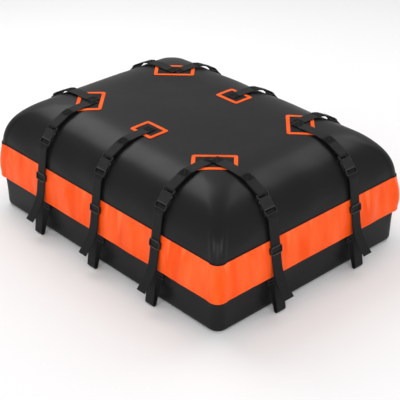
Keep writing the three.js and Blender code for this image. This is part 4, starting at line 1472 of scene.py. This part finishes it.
class ROOFBAG_OT_shell(bpy.types.Operator):
    """Build the filled shell of the bag"""
    bl_idname = "roofbag.shell"
    bl_label = "Shell"

    def execute(self, context):
        settings = context.scene.roof_bag_shell
        counts = ring_counts(11.0 * MM)
        rows, heights = shell_rows(counts)
        columns = len(rows[0])
        points = np.concatenate([np.column_stack([r, np.full(columns, h)]) for r, h in zip(rows, heights)])
        faces, corners = grid(len(rows), columns, False, True)
        section = lengths_along(np.array([(row[0, 1], height) for row, height in zip(rows, heights)]))
        wall, _ = ring(LENGTH / 2, WIDTH / 2, WALL_RADIUS, *counts)
        around = lengths_along(closed(wall))
        hanging_uv = np.stack([around[corners[:, 1]], section[corners[:, 0]]], axis=1)
        lying_uv = points[(corners[:, 0] * columns + corners[:, 1] % columns), :2]
        low, high = (np.array(heights)[corners[k::4, 0]] for k in (0, 2))
        lying = np.repeat((low > LYING_HEIGHT) | (high < 0.5 * MM), 4)
        uv = np.where(lying[:, None], lying_uv, hanging_uv)
        material = finish("Coated cloth", coated_cloth, settings)
        piece = mesh_piece("bag_shell", points, faces, material, uv, 60.0)
        with editing(piece.data) as work:
            bmesh.ops.remove_doubles(work, verts=work.verts, dist=0.02 * MM)
            bmesh.ops.dissolve_degenerate(work, edges=work.edges, dist=0.01 * MM)
            bmesh.ops.recalc_face_normals(work, faces=work.faces)
            work.normal_update()
            relief = shell_relief(np.array([v.co for v in work.verts]), settings)
            for vertex, distance in zip(work.verts, relief):
                vertex.co += vertex.normal * float(distance)
        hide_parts("bag_body")
        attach(piece, "bag")
        return {"FINISHED"}


class ROOFBAG_OT_flap(bpy.types.Operator):
    """Build the weather flap with its hems, piping and stitches"""
    bl_idname = "roofbag.flap"
    bl_label = "Weather Flap"

    def execute(self, context):
        settings = context.scene.roof_bag_flap
        data = flap_surface(settings, ring_counts(4.5 * MM))
        _, _, along, shares, _ = data
        lifts = [flap_thickness(share, settings) for share in shares]
        rows = [flap_row(i, data, settings, lift) for i, lift in enumerate(lifts)]
        rows += [flap_row(i, data, settings, 0.0) for i in reversed(range(len(shares)))]
        drop = np.concatenate([shares, shares[::-1], [0.0]]) * FLAP_DROP
        # The flap's orange, with painted highlights under its top seam
        material = finish("Orange vinyl", orange_vinyl, settings.colour, settings.roughness, True)
        flap = skin("weather_flap", rows, material, lambda row, column: (along[column], drop[row]))
        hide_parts("rain_flap")
        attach(flap, "bag")
        hems = self.hem_stitches(data, settings)
        piping = self.top_piping(data, context.scene.roof_bag_shell)
        return {"FINISHED"}

    def hem_stitches(self, data, settings):
        shares = data[3]
        seam = 0.62 * settings.hem_width / FLAP_DROP
        rows = [int(np.argmin(np.abs(shares - place))) for place in (seam, 1 - seam)]
        paths = [surface_of_flap(row, data, settings, 0.05 * MM) for row in rows]
        shape = (0.78, 0.9, 0.55)
        piece = stitches("flap_stitches", paths, "orange", settings.stitch_spacing, shape, 0.05, 3)
        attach(piece, "bag")
        return piece

    def top_piping(self, data, shell_settings):
        """The black cord that is sewn in along the top edge."""
        points, normals, along, _, _ = data
        radius = 1.3 * MM
        out = float(flap_out(0.0)) + 0.75 * MM + corner_push(points[:, 0], points[:, 1], FLAP_TOP)
        turns = np.arange(8) / 8 * 2 * math.pi
        rows = []
        for turn in turns:
            place = points + normals * (out + radius * math.cos(turn))[:, None]
            height = FLAP_TOP + radius * (0.5 + math.sin(turn))
            rows.append(np.column_stack([place, np.full(len(points), height)]))
        girth = np.append(turns, 2 * math.pi) * radius
        material = finish("Coated cloth", coated_cloth, shell_settings)
        piece = skin("flap_piping", rows, material, lambda row, column: (along[column], girth[row]))
        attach(piece, "bag")
        return piece


def zip_path(out, lift):
    """The zip's way from the right end round the rear to the left end, with outward directions."""
    long_steps, short_steps, corner_steps = counts = ring_counts(3.0 * MM)
    points, normals = ring(LENGTH / 2, WIDTH / 2, WALL_RADIUS, *counts)
    way = slice(corner_steps, 3 * corner_steps + 2 * short_steps + long_steps + 1)
    points, normals = points[way], normals[way]
    kept = points[:, 1] >= -WIDTH / 2 + WALL_RADIUS + ZIP_END_MARGIN
    points, normals = points[kept], normals[kept]
    pushed = out + corner_push(points[:, 0], points[:, 1], ZIP_HEIGHT)
    place = np.column_stack([points + normals * pushed[:, None], np.full(len(points), ZIP_HEIGHT + lift)])
    return place, np.column_stack([normals, np.zeros(len(points))])


class ROOFBAG_OT_zip(bpy.types.Operator):
    """Build the zip's tape, teeth and slider"""
    bl_idname = "roofbag.zip"
    bl_label = "Zip"

    def execute(self, context):
        settings = context.scene.roof_bag_zip
        self.tape(settings)
        self.teeth(settings)
        self.slider()
        return {"FINISHED"}

    def tape(self, settings):
        """The cloth tape, a thin strip that stands on edge."""
        climb = np.linspace(-ZIP_TAPE_WIDTH / 2, ZIP_TAPE_WIDTH / 2, 9)
        rows = [zip_path(SEAT_GAP + ZIP_TAPE_THICKNESS, lift)[0] for lift in climb]
        rows += [zip_path(SEAT_GAP, lift)[0] for lift in climb[::-1]]
        across = np.concatenate([climb, climb[::-1], climb[:1]])
        along = lengths_along(rows[0])
        starts = np.arange(len(rows)) * len(along)
        ends = [starts.tolist(), (starts + len(along) - 1).tolist()[::-1]]
        end_uv = [(0.0, a) for a in across[:-1]] + [(along[-1], a) for a in across[-2::-1]]
        tape = skin(
            "zip_tape", rows, finish("Zip tape", zip_cloth, settings.colour),
            lambda row, column: (along[column], across[row]), (True, False), ends, end_uv, 40.0)
        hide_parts("zip_chain")
        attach(tape, "bag")

    def teeth(self, settings):
        """Two rows of interlocking moulded teeth."""
        paths = []
        for lift, start in ((0.7 * MM, 0.0), (-0.7 * MM, settings.tooth_pitch / 2)):
            place, outwards = zip_path(SEAT_GAP + ZIP_TAPE_THICKNESS + 0.75 * MM, lift)
            place[0] += (place[1] - place[0]) / np.linalg.norm(place[1] - place[0]) * start
            paths.append((place, outwards))
        tooth = tooth_solid(0.62 * MM, 1.5 * MM, 0.85 * MM, 0.25 * MM)
        colour = scaled_colour(settings.colour, 1.6)
        material = finish("Zip teeth", moulded_plastic, colour, 0.35)
        piece = repeat_along("zip_teeth", paths, tooth, material, settings.tooth_pitch)
        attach(piece, "bag")

    def slider(self):
        """The slider and its pull, with the CAD piece's form and rounded edges."""
        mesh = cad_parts["zip_slider"].data.copy()
        mesh.name = "slider_body"
        with editing(mesh) as work:
            bmesh.ops.remove_doubles(work, verts=work.verts, dist=0.01 * MM)
            bmesh.ops.dissolve_limit(
                work, angle_limit=math.radians(1.0), verts=work.verts, edges=work.edges)
            sharp = [edge for edge in work.edges if edge.calc_face_angle(0.0) > math.radians(30)]
            bmesh.ops.bevel(work, geom=sharp, offset=0.35 * MM, offset_type="OFFSET", segments=2,
                            profile=0.5, affect="EDGES", clamp_overlap=True)
        mesh.materials.clear()
        mesh.materials.append(hardware_plastic())
        set_smooth(mesh, 32.0)
        piece = link_piece("slider_body", mesh)
        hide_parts("zip_slider")
        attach(piece, "slider")


class ROOFBAG_OT_patches(bpy.types.Operator):
    """Build the reinforcing patches with their orange outlines"""
    bl_idname = "roofbag.patches"
    bl_label = "Patches"

    def execute(self, context):
        settings = context.scene.roof_bag_patches
        trim = finish("Orange trim", orange_vinyl, settings.colour, 0.45)
        backing = finish("Patch cloth", patch_cloth, context.scene.roof_bag_shell)
        seam = 2.2 * MM
        stitch_paths = []
        for name, centre, along, across, turn in PATCHES:
            self.outline(name, centre, along, across, turn, trim)
            self.backing(name, centre, along, across, turn, backing)
            for inset in (seam, PATCH_BORDER - seam):
                line = closed(put_down(flat_patch(along, across, inset), centre, turn))
                line = raised(line, PATCH_SEAT_GAP + PATCH_THICKNESS + 0.02 * MM)
                stitch_paths.append((line, np.tile([0.0, 0.0, 1.0], (len(line), 1))))
        shape = (0.75, 0.7, 0.4)
        piece = stitches("patch_stitches", stitch_paths, "orange", settings.stitch_spacing, shape, 0.05, 5)
        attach(piece, "bag")
        return {"FINISHED"}

    def outline(self, name, centre, along, across, turn, material):
        """The orange frame: a flat folded tape with rounded edges."""
        low, high = PATCH_SEAT_GAP, PATCH_SEAT_GAP + PATCH_THICKNESS
        round_by, crown = 0.35 * MM, 0.15 * MM
        section = np.array([
            (0.0, low), (0.0, high - round_by), (round_by, high), (PATCH_BORDER * 0.35, high + crown),
            (PATCH_BORDER * 0.65, high + crown), (PATCH_BORDER - round_by, high),
            (PATCH_BORDER, high - round_by), (PATCH_BORDER, low),
        ])
        rows = [
            raised(put_down(flat_patch(along, across, inset), centre, turn), lift)
            for inset, lift in section]
        length = lengths_along(closed(rows[0]))
        width = np.append(section[:, 0], 0.0)
        piece = skin("patch_frame_" + name, rows, material, lambda row, column: (length[column], width[row]))
        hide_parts("patch_" + name)
        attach(piece, "bag")

    def backing(self, name, centre, along, across, turn, material):
        """The black cloth that the frame outlines, a thin plate that follows the top."""
        outer = flat_patch(along, across, PATCH_BORDER * 0.5)
        spine = long_middle(outer, max(0.0, along / 2 - across / 2))
        rings = [
            put_down(spine + (outer - spine) * share, centre, turn) for share in np.linspace(1.0, 0.0, 14)]
        rows = [raised(rings[0], 0.2 * MM)] + [raised(r, 0.95 * MM) for r in rings]
        count = len(outer)
        faces, corners = grid(len(rows), count, False, True)
        plan = np.concatenate([rings[0], *rings])
        uv = np.vstack([plan[corners[:, 0] * count + corners[:, 1] % count], rings[0]])
        faces.append(list(range(count)))
        piece = mesh_piece("patch_cloth_" + name, np.concatenate(rows), faces, material, uv, 60.0)
        with editing(piece.data) as work:
            bmesh.ops.remove_doubles(work, verts=work.verts, dist=0.02 * MM)
        point_outwards(piece.data)
        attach(piece, "bag")


class ROOFBAG_OT_upper_webbing(bpy.types.Operator):
    """Build the upper straps, from the patches to the female halves"""
    bl_idname = "roofbag.upper_webbing"
    bl_label = "Upper Webbing"

    def execute(self, context):
        settings = context.scene.roof_bag_webbing
        material = finish("Woven webbing", woven_webbing, settings)
        box = settings.box_length
        paths = []
        for name, x, y, turn, kind in STRAPS:
            matrix = strap_matrix(x, y, turn)
            line = divided(softened(upper_line(kind), 6.0 * MM), 5.0 * MM)
            # The sewn boxes, which the webbing's material also darkens with painted shade
            starts = (4.0 * MM, lengths_along(line)[-1] - 3.0 * MM - box)
            sewn_and_shaded = [(start, start + box) for start in starts]
            piece = webbing_piece("upper_strap_" + name, line, matrix, material, sewn_and_shaded)
            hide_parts("upper_webbing_" + name)
            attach(piece, "bag")
            for start, side in zip(starts, (1, -1)):
                paths += sewn_box(line, start, box, side, matrix)
        strap_seams("strap_stitches", paths, settings, 7)
        return {"FINISHED"}


class ROOFBAG_OT_lower_webbing(bpy.types.Operator):
    """Build the lower straps with their rail loops and tails"""
    bl_idname = "roofbag.lower_webbing"
    bl_label = "Lower Webbing"

    def execute(self, context):
        settings = context.scene.roof_bag_webbing
        material = finish("Woven webbing", woven_webbing, settings)
        line = divided(softened(lower_line(), 5.0 * MM), 6.0 * MM)
        paths = []
        for name, x, y, turn, _ in STRAPS:
            matrix = strap_matrix(x, y, turn)
            piece = webbing_piece("lower_strap_" + name, line, matrix, material)
            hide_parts("lower_webbing_" + name)
            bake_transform(piece)
            paths += sewn_box(line, 3.0 * MM, 22.0 * MM, 1, matrix)
        strap_seams("anchor_stitches", paths, settings, 9)
        return {"FINISHED"}


class ROOFBAG_OT_hardware(bpy.types.Operator):
    """Build the buckle halves, the tri-glides and the small adjusters"""
    bl_idname = "roofbag.hardware"
    bl_label = "Buckles and Glides"

    def execute(self, context):
        edge = context.scene.roof_bag_hardware.edge_round
        kinds = [
            ("female_half_", female_mesh, BUCKLE_PLACE, "female_buckle_", None),
            ("male_half_", male_mesh, BUCKLE_PLACE, "male_buckle_", "clip_"),
            ("glide_frame_", glide_mesh, GLIDE_PLACE, "tri_glide_", "glide_"),
            ("anchor_frame_", anchor_mesh, ANCHOR_PLACE, None, None),
        ]
        for prefix, make, place, node, body in kinds:
            mesh = finished_moulding(make(edge))
            for name, x, y, turn, _ in STRAPS:
                piece = placed_copy(prefix + name, mesh, strap_matrix(x, y, turn, *place), hardware_plastic())
                if node:
                    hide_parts(node + name)
                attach(piece, body + name if body else "bag")
            bpy.data.meshes.remove(mesh)
        return {"FINISHED"}

class ROOFBAG_OT_stage(bpy.types.Operator):
    """Build the floor, the lights and the camera"""
    bl_idname = "roofbag.stage"
    bl_label = "Stage"

    def execute(self, context):
        settings = context.scene.roof_bag_stage
        self.floor(settings)
        self.lights(context, settings)
        self.camera(context)
        return {"FINISHED"}

    def floor(self, settings):
        material = Finish("Floor", settings.floor_colour, 0.75, 0.2).material
        corners = rectangle(-HALF_FLOOR, HALF_FLOOR, -HALF_FLOOR, HALF_FLOOR)
        floor = mesh_piece("floor", [(x, y, 0.0) for x, y in corners], [(0, 1, 2, 3)], material)

    def lights(self, context, settings):
        """Area lights, each with its place, its size across and up, and its power."""
        aim = Vector(LIGHT_AIM)
        places = [
            ("high_left_light", (-1.9, 0.0, 2.6), (1.9, 1.9), settings.top_power),
            ("high_rear_light", (0.3, 2.2, 2.7), (2.2, 2.2), settings.top_power * REAR_LIGHT_SHARE),
            ("left_light", (0.5, -3.9, 1.3), (1.8, 1.4), settings.side_power),
            ("right_light", (3.9, -0.6, 1.3), (1.8, 1.4), settings.side_power),
            ("corner_light", (3.2, -3.3, 1.4), (1.2, 2.4), settings.corner_power),
        ]
        for name, place, (size, size_up), power in places:
            light = bpy.data.lights.new(name, "AREA")
            light.shape = "RECTANGLE"
            light.size = size
            light.size_y = size_up
            light.energy = power
            lamp = bpy.data.objects.new(name, light)
            lamp.location = place
            lamp.rotation_euler = (aim - Vector(place)).to_track_quat("-Z", "Y").to_euler()
            context.scene.collection.objects.link(lamp)
        world = bpy.data.worlds.new("Room")
        world.use_nodes = True
        background = world.node_tree.nodes["Background"]
        background.inputs["Color"].default_value = (1.0, 1.0, 1.0, 1.0)
        background.inputs["Strength"].default_value = settings.world_strength
        context.scene.world = world
        context.scene.view_settings.view_transform = "Standard"

    def camera(self, context):
        azimuth, elevation, roll = (math.radians(a) for a in (CAMERA_AZIMUTH, CAMERA_ELEVATION, CAMERA_ROLL))
        back = Vector((
            math.sin(azimuth) * math.cos(elevation),
            -math.cos(azimuth) * math.cos(elevation),
            math.sin(elevation)))
        right = Vector((math.cos(azimuth), math.sin(azimuth), 0.0))
        up = back.cross(right)
        rolled_right = right * math.cos(roll) + up * math.sin(roll)
        rolled_up = up * math.cos(roll) - right * math.sin(roll)
        turn = Matrix((rolled_right, rolled_up, back)).transposed().to_4x4()
        data = bpy.data.cameras.new("camera")
        data.sensor_width = CAMERA_SENSOR
        data.lens = CAMERA_LENS
        camera = bpy.data.objects.new("camera", data)
        camera.matrix_world = Matrix.Translation(Vector(CAMERA_TARGET) + back * CAMERA_DISTANCE) @ turn
        context.scene.collection.objects.link(camera)
        context.scene.camera = camera


STEPS = (
    ROOFBAG_OT_stage,
    ROOFBAG_OT_shell,
    ROOFBAG_OT_flap,
    ROOFBAG_OT_zip,
    ROOFBAG_OT_patches,
    ROOFBAG_OT_upper_webbing,
    ROOFBAG_OT_lower_webbing,
    ROOFBAG_OT_hardware,
)

SETTINGS = {
    "roof_bag_shell": ShellSettings,
    "roof_bag_flap": FlapSettings,
    "roof_bag_zip": ZipSettings,
    "roof_bag_patches": PatchSettings,
    "roof_bag_webbing": WebbingSettings,
    "roof_bag_hardware": HardwareSettings,
    "roof_bag_stage": StageSettings,
}


class ROOFBAG_PT_panel(bpy.types.Panel):
    """Lists the steps that build the bag"""
    bl_label = "Roof Cargo Bag"
    bl_idname = "ROOFBAG_PT_panel"
    bl_space_type = "VIEW_3D"
    bl_region_type = "UI"
    bl_category = "Roof Bag"

    def draw(self, context):
        for group in SETTINGS:
            box = self.layout.box()
            settings = getattr(context.scene, group)
            for name in settings.bl_rna.properties.keys():
                if name not in ("rna_type", "name"):
                    box.prop(settings, name)
        for step in STEPS:
            self.layout.operator(step.bl_idname)


def register():
    for cls in (*SETTINGS.values(), *STEPS, ROOFBAG_PT_panel):
        bpy.utils.register_class(cls)
    for name, cls in SETTINGS.items():
        setattr(bpy.types.Scene, name, PointerProperty(type=cls))


def unregister():
    for name in SETTINGS:
        delattr(bpy.types.Scene, name)
    for cls in reversed((*SETTINGS.values(), *STEPS, ROOFBAG_PT_panel)):
        bpy.utils.unregister_class(cls)


def main():
    register()
    for step in STEPS:
        group, name = step.bl_idname.split(".")
        getattr(getattr(bpy.ops, group), name)()
    bpy.context.view_layer.update()


if __name__ == "__main__":
    main()
